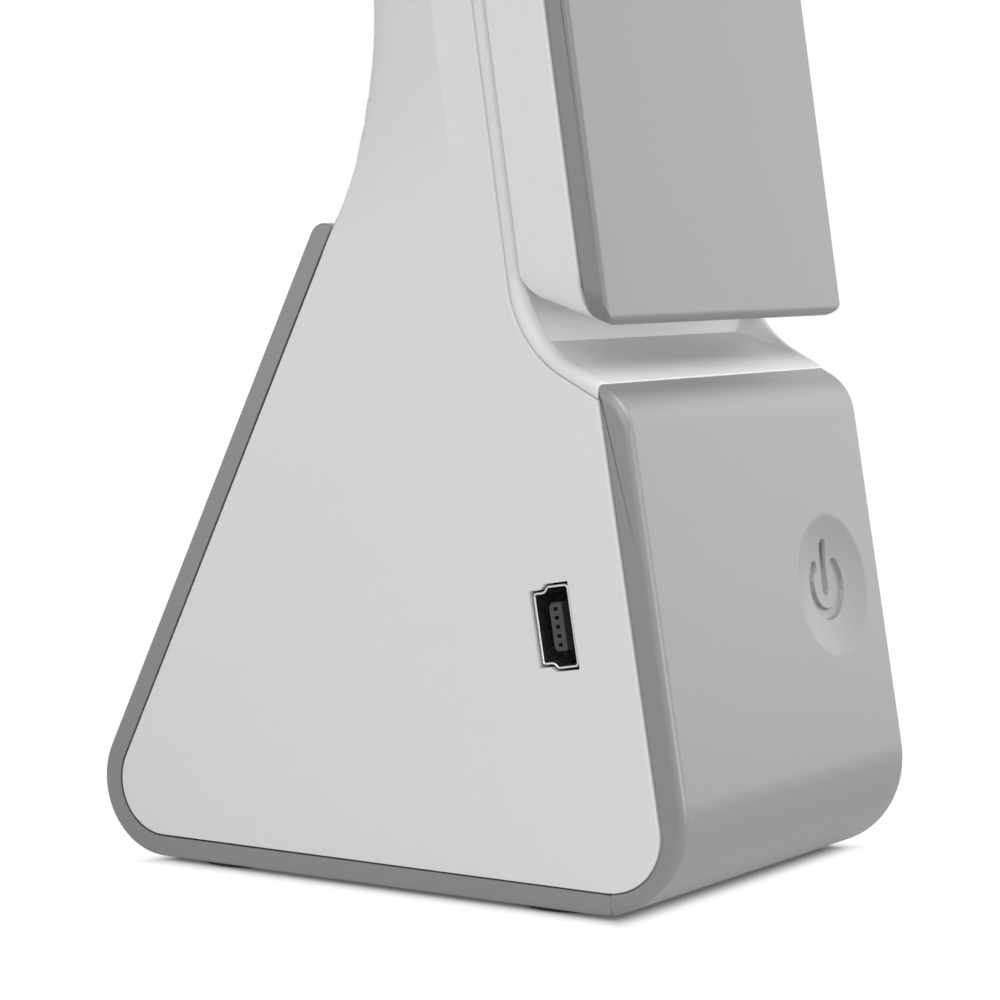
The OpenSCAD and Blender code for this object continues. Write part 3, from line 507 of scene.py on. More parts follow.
def coat(mesh, look):
    """Gives a whole mesh one finish."""
    mesh.materials.clear()
    mesh.materials.append(finishes()[look])
    mesh.polygons.foreach_set("material_index", np.zeros(len(mesh.polygons), np.int32))


def finished(piece, body, node, slot, look=None):
    """Shades a piece by angle, keeps its flats flat, and hands it to its body in the
    place of its node.  The finish is the slot's own where no other look is named."""
    mesh, crisp = piece.data, math.radians(32)
    without_slivers(mesh)
    piece.name = mesh.name = node + "_piece"
    coat(mesh, look or slot)
    mesh.polygons.foreach_set("use_smooth", np.ones(len(mesh.polygons), bool))
    even_normals(mesh, crisp)
    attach(piece, body)
    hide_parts(node)


# ---- shader maths ---------------------------------------------------------------------
class Value:
    """A shader value: Python's operators on it add Math nodes."""

    def __init__(self, tree, socket):
        self.tree, self.socket = tree, socket

    def math(self, operation, *values):
        """The result of one Math node on these values."""
        node = self.tree.nodes.new("ShaderNodeMath")
        node.operation = operation
        for slot, value in zip(node.inputs, values):
            feed(self.tree, slot, value)
        return Value(self.tree, node.outputs[0])

    def __add__(self, other):
        return self.math("ADD", self, other)

    def __sub__(self, other):
        return self.math("SUBTRACT", self, other)

    def __mul__(self, other):
        return self.math("MULTIPLY", self, other)

    def __rsub__(self, other):
        return self.math("SUBTRACT", other, self)

    __radd__ = __add__
    __rmul__ = __mul__

    def __abs__(self):
        return self.math("ABSOLUTE", self)

    def most(self, other):
        """The larger of two values."""
        return self.math("MAXIMUM", self, other)

    def above(self, limit):
        """1 where the value is above the limit, else 0."""
        return self.math("GREATER_THAN", self, limit)

    def step(self, low, high):
        """Smooth step from 0 at low to 1 at high."""
        node = self.tree.nodes.new("ShaderNodeMapRange")
        node.interpolation_type = "SMOOTHSTEP"
        feed(self.tree, node.inputs["Value"], self)
        node.inputs["From Min"].default_value = low
        node.inputs["From Max"].default_value = high
        return Value(self.tree, node.outputs[0])


def feed(tree, socket, value):
    """Links a shader value to a socket, or sets the socket's own number or colour."""
    if isinstance(value, Value):
        tree.links.new(value.socket, socket)
    elif hasattr(socket.default_value, "__len__") and hasattr(value, "__len__"):
        size = len(socket.default_value)
        socket.default_value = (list(value) + [1.0] * size)[:size]
    else:
        socket.default_value = value


class Finish:
    """A material: its Principled shader and the nodes that feed it."""

    def __init__(self, name, colour, roughness, **constants):
        self.material = bpy.data.materials.new(name)
        self.material.use_nodes = True
        self.tree = self.material.node_tree
        self.shader = self.tree.nodes["Principled BSDF"]
        self.colour = colour
        self.set("Base Color", colour)
        self.set("Roughness", roughness)
        for key, value in constants.items():
            self.set(key.replace("_", " "), value)

    def set(self, socket, value):
        """Sets or links one socket of the shader."""
        feed(self.tree, self.shader.inputs[socket], value)

    def node(self, kind, settings=None, inputs=None, output=0):
        """One output of any other node, its settings made first."""
        node = self.tree.nodes.new("ShaderNode" + kind)
        for key, value in (settings or {}).items():
            setattr(node, key, value)
        for key, value in (inputs or {}).items():
            feed(self.tree, node.inputs[key], value)
        return Value(self.tree, node.outputs[output])

    def place(self, scale=(1, 1, 1)):
        """Object coordinates, scaled."""
        return self.node("Mapping", None, {
            "Vector": self.node("TexCoord", output="Object"), "Scale": scale})

    def part(self, axis):
        """One of the object coordinates X, Y or Z."""
        return self.node("SeparateXYZ", None, {"Vector": self.place()}, axis)

    def noise(self, size, detail=2.0, stretch=(1, 1, 1), rough=0.5):
        """Noise from 0 to 1 with features of that size in metres."""
        return self.node("TexNoise", None, {
            "Vector": self.place(tuple(1 / (size * k) for k in stretch)),
            "Scale": 1.0, "Detail": detail, "Roughness": rough})

    def mixed(self, share, low, high):
        """A colour between low and high."""
        return self.node("Mix", {"data_type": "RGBA"},
                         {"Factor": share, 6: low, 7: high}, 2)

    def shade(self, share, spread):
        """The finish's own colour made a little darker and lighter by share."""
        low = [c * (1 - spread) for c in self.colour]
        high = [min(1.0, c * (1 + spread)) for c in self.colour]
        self.set("Base Color", self.mixed(share, low, high))

    def relief(self, height, depth, roughness):
        """Relief of that depth in metres, and its roughness."""
        self.set("Roughness", roughness)
        self.set("Normal", self.node("Bump", None, {
            "Height": height, "Distance": depth, "Strength": 1.0}))
        return self.material


def moulded(name, colour, roughness=0.45, grain=0.00022, depth=0.000004, spread=0.012,
            **constants):
    """Satin moulding: fine spark texture, faint flow marks and a slightly uneven gloss."""
    finish = Finish(name, colour, roughness, **constants)
    flow = finish.noise(0.03, 3.0, (1, 1, 2.5))
    fine = finish.noise(grain, 2.0)
    finish.shade(flow * 0.7 + fine * 0.3, spread)
    return finish.relief(fine, depth, roughness + (flow - 0.5) * 0.08 + (fine - 0.5) * 0.06)


def plated(name, colour, roughness=0.28, stretch=(1, 1, 6)):
    """Drawn or turned metal: fine marks along one way, with duller patches."""
    finish = Finish(name, colour, roughness, Metallic=1.0)
    marks = finish.noise(0.00018, 3.0, stretch)
    patch = finish.noise(0.004, 3.0)
    finish.shade(marks * 0.5 + patch * 0.5, 0.06)
    return finish.relief(marks, 0.000003,
                         roughness + (marks - 0.5) * 0.18 + (patch - 0.5) * 0.1)


def circuit(name, colour, track):
    """Solder mask over copper: tracks on a square raster, fine weave underneath."""
    finish = Finish(name, colour, 0.32, Coat_Weight=0.4, Coat_Roughness=0.15)
    per_metre = (420,) * 3
    cells = finish.node("TexVoronoi", {"feature": "DISTANCE_TO_EDGE"},
                        {"Vector": finish.place(per_metre), "Scale": 1.0})
    line = 1 - cells.step(0.05, 0.09)
    weave = finish.noise(0.0004, 2.0)
    finish.set("Base Color", finish.mixed(line, colour, track))
    return finish.relief(line * 0.7 + weave * 0.3, 0.00003, 0.3 + weave * 0.12)


def foil(name, colour):
    """Pouch foil: soft creases and a dull metal sheen."""
    finish = Finish(name, colour, 0.35, Metallic=0.9)
    crease = finish.noise(0.006, 5.0, rough=0.65)
    finish.shade(crease, 0.12)
    return finish.relief(crease, 0.0004, 0.26 + crease * 0.25)


def foam(name, colour):
    """Open cell foam or fibre: small dark pores."""
    finish = Finish(name, colour, 0.9)
    per_metre = (2600,) * 3
    pores = finish.node("TexVoronoi", None, {"Vector": finish.place(per_metre), "Scale": 1.0})
    finish.shade(pores, 0.4)
    return finish.relief(pores, 0.0001, 0.8 + pores * 0.15)


def frosted(name, colour):
    """Frosted light cover: milky, with a fine even texture."""
    finish = Finish(name, colour, 0.5, Subsurface_Weight=0.25, Subsurface_Scale=0.002)
    fine = finish.noise(0.00035, 2.0)
    finish.shade(fine, 0.015)
    return finish.relief(fine, 0.000008, 0.45 + fine * 0.12)


def phosphor(name, colour):
    """LED package: glossy yellow phosphor, a little uneven."""
    finish = Finish(name, colour, 0.3, Coat_Weight=0.5)
    spot = finish.noise(0.0012, 2.0)
    finish.shade(spot, 0.1)
    return finish.relief(spot, 0.00003, 0.22 + spot * 0.15)


def wires(name):
    """Sheath of the battery's two leads: black on one side, red on the other."""
    red, black, middle = (0.5, 0.03, 0.02), (0.012, 0.012, 0.013), -0.007
    finish = Finish(name, red, 0.4)
    fine = finish.noise(0.0006, 2.0)
    finish.set("Base Color", finish.mixed(finish.part("X").above(middle), black, red))
    return finish.relief(fine, 0.00001, 0.34 + fine * 0.14)


LOOKS = {}


def finishes():
    """Every finish of the lamp by its slot name, made once."""
    if LOOKS:
        return LOOKS
    colour = bpy.context.scene.lamp_colours
    white, grey, black = tuple(colour.white), tuple(colour.grey), tuple(colour.black)
    steel, brass = tuple(colour.steel), tuple(colour.brass)
    sheen = {"roughness": 0.36, "spread": 0.02, "Specular_IOR_Level": 1.0}
    LOOKS.update({
        "white_plastic": moulded("white moulding", white, 0.42),
        "grey_plastic": moulded("grey moulding", grey, **sheen),
        # the head's cover is the same grey moulding made darker by 0.8: painted shade
        "head_grey_painted_shade": moulded("head moulding painted darker", tuple(0.8 * c for c in grey), **sheen),
        "black_plastic": moulded("black moulding", black, 0.45),
        "tongue": moulded("tongue", (0.045, 0.045, 0.047), 0.5),
        "foot_rubber": moulded("rubber", black, 0.75, grain=0.0004, depth=0.00002),
        "connector_nylon": moulded("nylon", (0.72, 0.68, 0.56), 0.45),
        "cable_sheath": moulded("cable sheath", (0.72, 0.72, 0.73), 0.42),
        "coil_ferrite": moulded("ferrite", (0.03, 0.03, 0.032), 0.6, 0.0003, 0.00003),
        "board_white": moulded("white board", (0.8, 0.81, 0.82), 0.35, spread=0.02),
        "steel": plated("plated steel", steel),
        "capacitor_can": plated("can", (0.66, 0.67, 0.69), 0.22, (6, 6, 1)),
        "contact_brass": plated("contact", brass, 0.2),
        "bush_brass": plated("bush", brass, 0.32),
        "ballast_steel": plated("ballast", (0.42, 0.43, 0.44), 0.42, (3, 1, 1)),
        "board_green": circuit("green board", tuple(colour.board), (0.03, 0.2, 0.075)),
        "cell_foil": foil("foil", (0.5, 0.52, 0.54)),
        "pad_foam": foam("foam", (0.02, 0.02, 0.022)),
        "washer_fibre": foam("fibre", (0.03, 0.025, 0.02)),
        "diffuser_plastic": frosted("diffuser", (0.88, 0.88, 0.85)),
        "led_yellow": phosphor("phosphor", tuple(colour.glow)),
        "lead_sheath": wires("battery leads"),
    })
    return LOOKS


# ---- skins -----------------------------------------------------------------------------
def symbol_depth(x, z, sizes):
    """Engraved line of the key, 0 to 1: a ring open by a quarter at its top, and a
    short upright bar through the opening.  Each is the distance to its middle line."""
    bearing = np.arctan2(x, z)
    nearest = np.where(abs(bearing) < math.pi / 4, np.sign(bearing) * math.pi / 4, bearing)
    ring = np.hypot(x - sizes.ring_r * np.sin(nearest), z - sizes.ring_r * np.cos(nearest))
    low, high, soft = -0.4, sizes.ring_r + 1.2, 0.07
    bar = np.hypot(x, z - np.clip(z, low, high))
    near = np.minimum(ring, bar) - sizes.line_w / 2
    return smooth(0.5 - near / (2 * soft))


def key_depth(x, z, sizes):
    """Depth of the dish under the front face: a cap of a sphere, and the engraving."""
    radius, edge, sunk, margin = sizes.key_d / 2, 0.05, 0.01, 0.8
    ball = (radius ** 2 + sizes.key_depth ** 2) / (2 * sizes.key_depth)
    away = np.hypot(x, z)
    bowl = np.sqrt(np.maximum(ball ** 2 - away ** 2, 0)) - (ball - sizes.key_depth)
    bowl = 0.5 * (bowl + np.sqrt(bowl ** 2 + edge ** 2)) - sunk
    bowl = np.where(away < radius + margin, np.maximum(bowl, 0), 0)
    return bowl + symbol_depth(x, z, sizes) * sizes.line_d


def cover_skin(form, edges):
    """Outer skin of the front cover, with the dished key in its face."""
    s, skin, pitch = form.s, edges.skin, 0.1
    seam_y = form.front[0] - JOINT_GAP
    corners = [[seam_y, form.bed - skin], form.front_at(form.bed - skin, s.cover_t - skin),
               form.shelf_front(s.cover_drop, s.cover_t - skin),
               form.shelf_front(s.cover_drop, skin),
               meet(form.front_at(0, skin), form.u_front, np.array([0, skin]), LEVEL),
               [seam_y, skin]]
    outline, marks = rounded(corners, [0, form.seam_foot_r, 0, s.shelf_edge_r, s.foot_r, 0])
    # what the corner's arcs carry past the joint is left out
    first, last, clear, low = 0, 5, 0.05, 10
    kept = (outline[:, 0] < seam_y - clear) | (outline[:, 1] > low) \
        | (marks == first) | (marks == last)
    outline, marks = outline[kept], marks[kept]
    # the face between the shelf edge and the foot gets a fine run of points at the key
    edge_end, face = 3.25, 3.5
    top = np.flatnonzero(marks == edge_end)[0]
    start, end = outline[top], outline[top + 1]
    z_start, z_end = ((point - form.front_at(0)) @ form.u_front for point in (start, end))
    reach, beyond = s.key_d / 2 + 0.9, 2
    rows = np.concatenate([[s.key_z + reach + beyond],
                           np.arange(s.key_z + reach, s.key_z - reach, -pitch),
                           [s.key_z - reach - beyond]])
    share = (rows - z_start) / (z_end - z_start)
    fine = start + (end - start) * share[:, None]
    outline = np.insert(outline, top + 1, fine, 0)
    marks = np.insert(marks, top + 1, np.full(len(fine), face))
    # rims by edge: hidden top, seam, shelf, face, foot, seam
    rims = np.interp(marks, [0, 1.99, 2, 2.75, edge_end, 4.99, 5],
                     [edges.seam, edges.seam, edges.lip_arris, edges.lip_arris,
                      edges.grey_arris, edges.grey_arris, edges.joint])

    def shift(x, points):
        """The dish in the face."""
        along = (points - form.front_at(0)) @ form.u_front
        depth = np.where(marks == face, key_depth(x - s.key_x, along - s.key_z, s), 0)
        return points + right_of(form.u_front) * depth[:, None]

    side = form.half - edges.grey_arris - 0.3
    columns = np.concatenate([[-side, 0],
                              np.arange(s.key_x - reach, side - pitch / 2, pitch), [side]])
    return plate("front_cover_skin", form.raised(outline), rims, form.half - skin,
                 columns, lambda x, yz: form.raised(shift(x, yz - [0, form.lift])))


def strap_skin(form, edges):
    """Outer skin of the bottom and back strap."""
    s, skin, thick = form.s, edges.skin, form.s.strap_t
    seam_y = form.front[0] + JOINT_GAP
    top = form.back_at(s.strap_top, skin)
    foot = form.front_at(0)[0] + s.foot_r * math.tan((math.pi / 2 + s.front_tilt) / 2)
    rise = s.foot_r - math.sqrt(s.foot_r ** 2 - (foot - form.front[0]) ** 2)
    heel, heel_in = (meet(np.array([0, d]), LEVEL, form.back_at(0, d), form.u_back)
                     for d in (skin, thick))
    corners = [[seam_y, skin + rise], [foot, skin], heel, top,
               top - right_of(form.u_back) * thick, heel_in, [seam_y, thick]]
    outline, marks = rounded(corners, [0, 0, s.rear_r, thick * 0.8, 0, s.rear_r - thick, 0])
    rims = np.where(marks < 3.3, edges.strap_arris, edges.joint)
    return plate("base_strap_skin", form.raised(outline), rims, form.half - skin, [-20, 20])


def shell_lines(form, skin):
    """Front seam line and back line of the white shell, [y, z] point for point.  In the
    base a point goes by its share of the line's length, in the stem by its height s."""
    s = form.s
    # both lines start at the foot; along the stem, the base's share ends at the split
    foot = np.array([form.front[0] + 9, form.bed + skin])
    split, top = s.tip_s + 7, s.hinge_s + 9

    def line(corners, radii, n):
        """One line and its marks: 0 to 1 in the base, 1 to 2 in the stem."""
        path, _ = rounded(corners + [form.stem(n, top)], radii + [0], closed=False, step=2.5)
        rise = form.stem_place(path)[1]
        k = np.flatnonzero(rise < split)[-1] + 1
        share = (split - rise[k - 1]) / (rise[k] - rise[k - 1])
        path = np.insert(path, k, path[k - 1] + (path[k] - path[k - 1]) * share, 0)
        steps = np.linalg.norm(np.diff(path, axis=0), axis=1)
        run = np.concatenate([[0], np.cumsum(steps)])
        stem = 1 + (form.stem_place(path)[1] - split) / (top - split)
        return path, np.where(np.arange(len(path)) > k, stem, run / run[k])

    cover_t, lip_t = s.cover_t + skin, s.lip_t + skin
    seam, seam_run = line([foot, form.front_at(form.bed + skin, cover_t),
                           form.shelf_front(lip_t, cover_t), form.shelf_stem(lip_t)],
                          [0, form.seam_foot_r, 0, s.seam_r], lip_t)
    back, back_run = line([foot, meet(foot, LEVEL, form.back_at(0, form.bed + skin),
                                      form.u_back),
                           form.back_stem(form.bed + skin, s.stem_d - skin)],
                          [0, s.rear_r - form.bed, s.flare_r], s.stem_d - skin)
    # closer rings where the flats sweep into the full stem; the lines start at one
    # point, and the first ring stands a little off it
    sweep = s.stem_full + np.array([-20, -17, -14, -11, -8, -5, -2.5, 0])
    full = 1 + (sweep - split) / (top - split)
    run = np.unique(np.round(np.concatenate([seam_run, back_run, full, [0.02]]), 6))[1:]
    return (np.stack([np.interp(run, seam_run, seam[:, k]) for k in (0, 1)], -1),
            np.stack([np.interp(run, back_run, back[:, k]) for k in (0, 1)], -1))


# the stem's narrowing flats: drop and depth of a point, lean, sweep radius, full from s
FLATS = ((0.0, 5.8, 13, 53, 84), (0.9, 11.1, 36, 45, 91), (2.9, 14.2, 66, 45, 91))


def narrowed(form, seam, back, half):
    """Sections of the shell behind its flat sides.  A section is what lies under a few
    lines: the flats, which swing outwards below the full stem, and the back.  The lines
    are blended by the logarithm of their summed exponentials, which stays just inside
    all of them, and the edge is found by Newton's steps along rays.  Returns x and the
    distance q behind the seam, for each ring and column."""
    chord = np.linalg.norm(back - seam, axis=1)[:, None]
    # depth of both lines, height in the stem, and depth gained per millimetre of q
    n_seam, n_back = (form.stem_place(line)[0][:, None] for line in (seam, back))
    high = np.maximum(form.stem_place(back)[1], form.stem_place((seam + back) / 2)[1])
    high = high[:, None]
    rate = np.maximum(n_back - n_seam, 1e-3) / chord
    # a flat as its slope and its start at the seam's depth
    slopes, starts = [], []
    for drop, depth, lean, radius, full in FLATS:
        below = np.clip(full - high, 0, radius)
        swing = radius - np.sqrt(radius ** 2 - below ** 2)
        slope = math.tan(math.radians(lean))
        slopes.append(slope)
        starts.append(drop - depth * slope - swing / math.cos(math.radians(lean)))
    # the first flat keeps its crease at the same depth and turns flatter instead
    meets = np.clip((starts[0] - starts[1]) / (slopes[1] - slopes[0]),
                    form.s.side_flat + 0.5, n_back)
    slopes[0] = np.maximum((starts[0] + slopes[0] * meets)
                           / np.maximum(meets - form.s.side_flat, 0.5), 0)
    starts[0] = -form.s.side_flat * slopes[0]
    # every line as a * x + b * q = c, its a and b the parts of a unit vector
    lines = []
    for slope, start in zip(slopes, starts):
        size = np.sqrt(1 + (rate * slope) ** 2)
        lines.append((1 / size, rate * slope / size,
                      (half - start - n_seam * slope) / size))
    lines.append((0 * chord, 1 + 0 * chord, chord))
    base = smooth((82 - high) / 20)  # 0 in the stem, 1 in the base
    # the rays start this far inside the side and the back
    reach = np.minimum(9.4, 0.7 * chord)
    q_ray = chord - reach
    crease = np.clip((form.s.side_flat - n_seam) / rate, 0.1 * q_ray, q_ray)
    # rays: straight outwards down the flank, then through a quarter circle to the back
    v = np.concatenate([[-1, -0.97, -0.92], np.linspace(-0.85, 1, 24)])
    bend = math.pi / 4 * (1 + np.sign(v) * abs(v) ** (1 + 3 * base))
    flank = np.array([0, 0.04, 0.3, 0.65])
    turn = np.concatenate([np.zeros((len(chord), 4)), bend], 1)
    from_q = np.concatenate([crease + (q_ray - crease) * flank,
                             np.repeat(q_ray, len(v), 1)], 1)
    from_x = half - reach
    sharp = 4 + 12 * base  # how closely the blend follows its lines
    at = np.stack([a * from_x + b * from_q - c for a, b, c in lines])
    pace = np.stack([a * np.cos(turn) + b * np.sin(turn) for a, b, c in lines])
    far = np.where(pace > 1e-6, -at / np.maximum(pace, 1e-6), 1e3).min(0)
    for _ in range(12):  # Newton's steps
        part = np.exp(sharp * (at + far * pace))
        far = far - np.log(part.sum(0)) / sharp * part.sum(0) / (part * pace).sum(0)
    x, q = from_x + far * np.cos(turn), from_q + far * np.sin(turn)
    x[:, 0] = half  # the first column keeps to the side
    return x, q


def shell_skin(form, edges):
    """Outer skin of the white shell: rings across the lamp from the front seam, round
    its small edge, along the flat side and round the narrowed back."""
    half = form.half - edges.skin
    seam, back = shell_lines(form, edges.skin)
    x, q = narrowed(form, seam, back, half)
    short, along = arris(edges.seam, np.tile(np.linspace(math.pi / 2, 0, 6), (len(seam), 1)))
    x, q = np.concatenate([half - short, x], 1), np.concatenate([along, q], 1)
    way = (back - seam) / np.linalg.norm(back - seam, axis=1)[:, None]
    yz = form.raised(seam[:, None] + way[:, None] * q[..., None])
    return carried("body_shell_skin",
                   np.concatenate([at_x(-x, yz), at_x(x, yz)[:, ::-1]], 1))


def insert_skin(form, edges):
    """The front insert: one section carried up the shelf, round the fillet and up the
    stem.  Across the lamp the section is a rounded lip, a ramp and the recess floor;
    the floor keeps to two flat planes that meet in a crease behind the fillet."""
    s = form.s
    fillet = s.seam_r - s.lip_t
    corner = form.shelf_stem(0.0)
    start = form.shelf_front(0.0, s.cover_t + edges.skin)
    end = form.stem(0.0, s.hinge_s)
    path, _ = rounded([start, corner, end], [0, fillet, 0], closed=False, step=3.0)
    # the shelf in 14 steps
    shelf = start + (path[1] - start) * np.linspace(0, 1, 15)[1:-1, None]
    path = np.vstack([path[:1], shelf, path[1:]])
    on_shelf = np.arange(len(path)) < len(shelf) + 1
    on_stem = np.arange(len(path)) == len(path) - 1
    a, b = unit(start - corner), unit(end - corner)
    half = 0.5 * math.acos(a @ b)
    centre = corner + unit(a + b) * fillet / math.sin(half)
    into_shelf, into_stem = right_of(form.u_shelf), right_of(form.u_stem)
    inward = (path - centre) / fillet
    inward[on_shelf], inward[on_stem] = into_shelf, into_stem

    # the end beside the cover leans with the cover's seam
    lean = -form.u_front / (-form.u_front @ into_shelf) - into_shelf
    near = np.linalg.norm(path - start, axis=1) / np.linalg.norm(path[len(shelf)] - start)
    lean = lean * np.clip(1 - near, 0, 1)[:, None] * on_shelf[:, None]

    def depth_of(under_shelf, under_stem):
        """How far two planes, under the shelf and the stem, lie behind the path."""
        arc = np.minimum((fillet + under_shelf) / np.maximum(inward @ into_shelf, 1e-6),
                         (fillet + under_stem) / np.maximum(inward @ into_stem, 1e-6))
        return np.where(on_shelf | on_stem, under_shelf, arc - fillet)

    # the floor of the recess rises gently along the shelf to meet the cover's edge
    back, floor = depth_of(s.insert_t, s.insert_t), depth_of(s.recess_d, s.recess_d)
    for _ in range(8):  # the rise goes by where the floor's own points lie
        along = (path + inward * floor[:, None] - start) @ form.u_shelf
        share = np.where(on_stem, 1, smooth(along / s.recess_run))
        floor = depth_of(s.recess_foot + (s.recess_d - s.recess_foot) * share, s.recess_d)
    ramp = 0.3 + 2.1 * np.maximum(floor - s.recess_d, 0)  # wider over the deep fillet
    side, inner = form.half, form.half - 1.9  # inner: the side of the backing
    rim = side - max(s.lip_w, edges.lip_arris) - 0.02
    # half a section from the side inwards: seam edge, lip, ramp; x and depth at a time
    flank = [(side - short, s.lip_t - along) for short, along in
             (arris(edges.seam, t) for t in (math.pi / 2, 0.9, 0.4, 0.0))]
    flank += [(side - short, along) for short, along in
              (arris(edges.lip_arris, t) for t in np.linspace(0, math.pi / 2, 8))]
    flank += [(rim - ramp * t, floor * smooth(t)) for t in np.linspace(0, 1, 11)]
    section = [(-x, deep) for x, deep in flank] + flank[::-1]
    section += [(inner, s.lip_t), (inner, back), (-inner, back), (-inner, s.lip_t)]
    x, deep = (np.stack([point[k] * np.ones(len(path)) for point in section], 1)
               for k in (0, 1))
    yz = form.raised(path[:, None] + (inward + lean)[:, None] * deep[..., None])
    piece = carried("front_insert_skin", at_x(x, yz))
    # cradles beside the knuckle for the head's ears, and the knuckle's bore
    reach, wide, bore = s.ear_r + s.cradle_gap, s.knuckle_w / 2, s.knuckle_r - 1.6
    for x0, x1, radius in ((-side - 2, -wide, reach), (wide, side + 2, reach),
                           (-wide - 1, wide + 1, bore)):
        combine(piece, drum(form, x0, x1, radius), "DIFFERENCE")
    return piece


def knuckle_front(form, edges):
    """Front half of the stem's knuckle, which belongs to the insert."""
    s, radius = form.s, form.s.knuckle_r - edges.skin
    arc = form.about_hinge(np.linspace(0.5 * math.pi, 1.5 * math.pi, 61), radius)
    ends = [form.stem(s.lip_t, s.hinge_s + side * radius) for side in (1, -1)]
    outline = form.raised(np.vstack([ends[0], arc, ends[1]]))
    rim = 0.3
    tool = plate("knuckle_tool", outline, np.full(len(outline), rim),
                 s.knuckle_w / 2 - edges.skin, [-9, 9])
    return under_skin("front_insert", tool)


def ear_arc(form, first, last, skin):
    """Points [n, s] round an ear from one angle to another, in degrees from the back."""
    step = 3
    turn = np.radians(np.linspace(first, last, 2 + int(abs(last - first) / step)))
    radius = form.s.ear_r - skin
    return np.c_[form.s.axis_n + radius * np.cos(turn), form.s.hinge_s + radius * np.sin(turn)]


def head_skin(form, edges, lit):
    """Outer skin of one half of the head: the white tray that faces the stem when
    lit is true, the grey cover otherwise."""
    s, skin = form.s, edges.skin
    front = -s.head_gap - s.head_t + skin
    split = -s.head_gap - s.head_t + s.head_cover_t
    rise = math.tan(s.tip_slope)
    radius = s.ear_r - skin
    low = s.tip_s + skin / math.cos(s.tip_slope)
    stem_r, front_r = 2.8, 0.9  # corners of the end face, beside the stem and in front

    def tip(n):
        """Point on the end face at depth n."""
        return [n, low + (n - front) * rise]

    def ear_turn(n):
        """Angle where the ear passes depth n, in degrees from the back."""
        return math.degrees(math.acos((n - s.axis_n) / radius))

    if lit:
        face = -s.head_gap - skin
        arc = ear_arc(form, -ear_turn(face), ear_turn(split), skin)
        ends, radii = [tip(split + skin), tip(face)], [0, stem_r]
        # rims by edge: end face, back face, ear, and the seam
        by_edge = [s.head_corner_r] + [edges.tray_arris] * len(arc) + [edges.seam]
    else:
        arc = ear_arc(form, ear_turn(split), 180, skin)
        ends, radii = [tip(front), tip(split - skin)], [front_r, 0]
        # rims by edge: end face, seam, ear and front face
        by_edge = [s.head_corner_r, edges.seam] + [edges.head_arris] * len(arc)
    corners = form.raised(form.stem(*np.vstack([ends, arc]).T))
    radii, by_edge = np.array(radii + [0] * len(arc), float), np.array(by_edge)

    def inset(share):
        """The outline with its edges drawn in and its corner radii made smaller."""
        less = share * (by_edge + np.roll(by_edge, 1)) / 2
        smaller = np.where(radii > 0, np.maximum(radii - less, 0.02), 0)
        return rounded(drawn_in(corners, by_edge * share), smaller)[0]

    outline, marks = rounded(corners, radii)
    corner = np.floor(marks + 0.5).astype(int) % len(corners)
    round_it = np.clip((marks - np.floor(marks + 0.5)) * 2 + 0.5, 0, 1)
    round_it = np.where(radii[corner] > 0, round_it, 1)
    rims = by_edge[corner - 1] * (1 - round_it) + by_edge[corner] * round_it
    return plate("head_skin", outline, rims, form.head_half - skin, [-18, 18], inset=inset)


def socket_ring(form, outline, x):
    """A ring of the socket, points [depth, height] about its middle, at x."""
    return at_x(x, form.raised(form.panel(outline[:, 0] + form.s.usb_depth,
                                          outline[:, 1] + form.s.usb_z)))


def socket_outline(less):
    """Outline of the socket's steel, or of its inside when less is the wall."""
    half = [[-1.975, 3.85], [0.35, 3.85], [0.75, 3.35], [1.975, 3.35]]
    radii = [0.45, 0.5, 0.5, 0.4]
    corners = [[d, -z] for d, z in half] + half[::-1]
    outline, _ = rounded(corners, radii + radii[::-1], step=12)
    return drawn_in(outline, np.full(len(outline), less))


def socket_steel(form):
    """Steel of the socket: a deep drawn cup whose mouth is rolled through half a circle."""
    x0, wall, end, floor = form.s.usb_x, form.s.usb_wall, 9, 8.65
    rings = [socket_ring(form, socket_outline(0), x0 + end)]
    rings += [socket_ring(form, socket_outline(less), x0 + depth) for less, depth in
              (arris(wall / 2, t) for t in np.linspace(0, math.pi, 9))]
    rings.append(socket_ring(form, socket_outline(wall), x0 + floor))
    return carried("usb_shell", rings)


def socket_tongue(form):
    """Tongue of the socket with its five contact slots, on a plug at the cup's end."""
    x0 = form.s.usb_x
    corners = [[-0.7, -2.25], [0.4, -2.25], [0.7, -1.9], [0.7, 1.9], [0.4, 2.25],
               [-0.7, 2.25]]
    outline, _ = rounded(corners, [0.12] * 6, step=20)
    bevel, pitch, ease = 0.08, 0.83, 0.02
    inset = drawn_in(outline, np.full(len(outline), bevel))

    def solid(name, *rings):
        """A solid from pairs of an outline and its depth behind the mouth."""
        return carried(name, [socket_ring(form, ring, x0 + depth) for ring, depth in rings])

    piece = solid("usb_tongue", (inset, 0.45), (outline, 0.45 + bevel), (outline, 7.1))
    slot = np.array([[-0.24, -0.17], [0.2, -0.17], [0.2, 0.17], [-0.24, 0.17]])
    for k in range(-2, 3):
        contact = slot + [0, pitch * k]
        combine(piece, solid("slot_tool", (contact, -1), (contact, 1.6)), "DIFFERENCE")
    plug = socket_outline(form.s.usb_wall + ease)
    return joined(piece, solid("plug", (plug, 7), (plug, 8.6)))


# ---- operators --------------------------------------------------------------------------
def setting():
    """The form and the edges of the scene."""
    return Form(bpy.context.scene.lamp_sizes), bpy.context.scene.lamp_edges


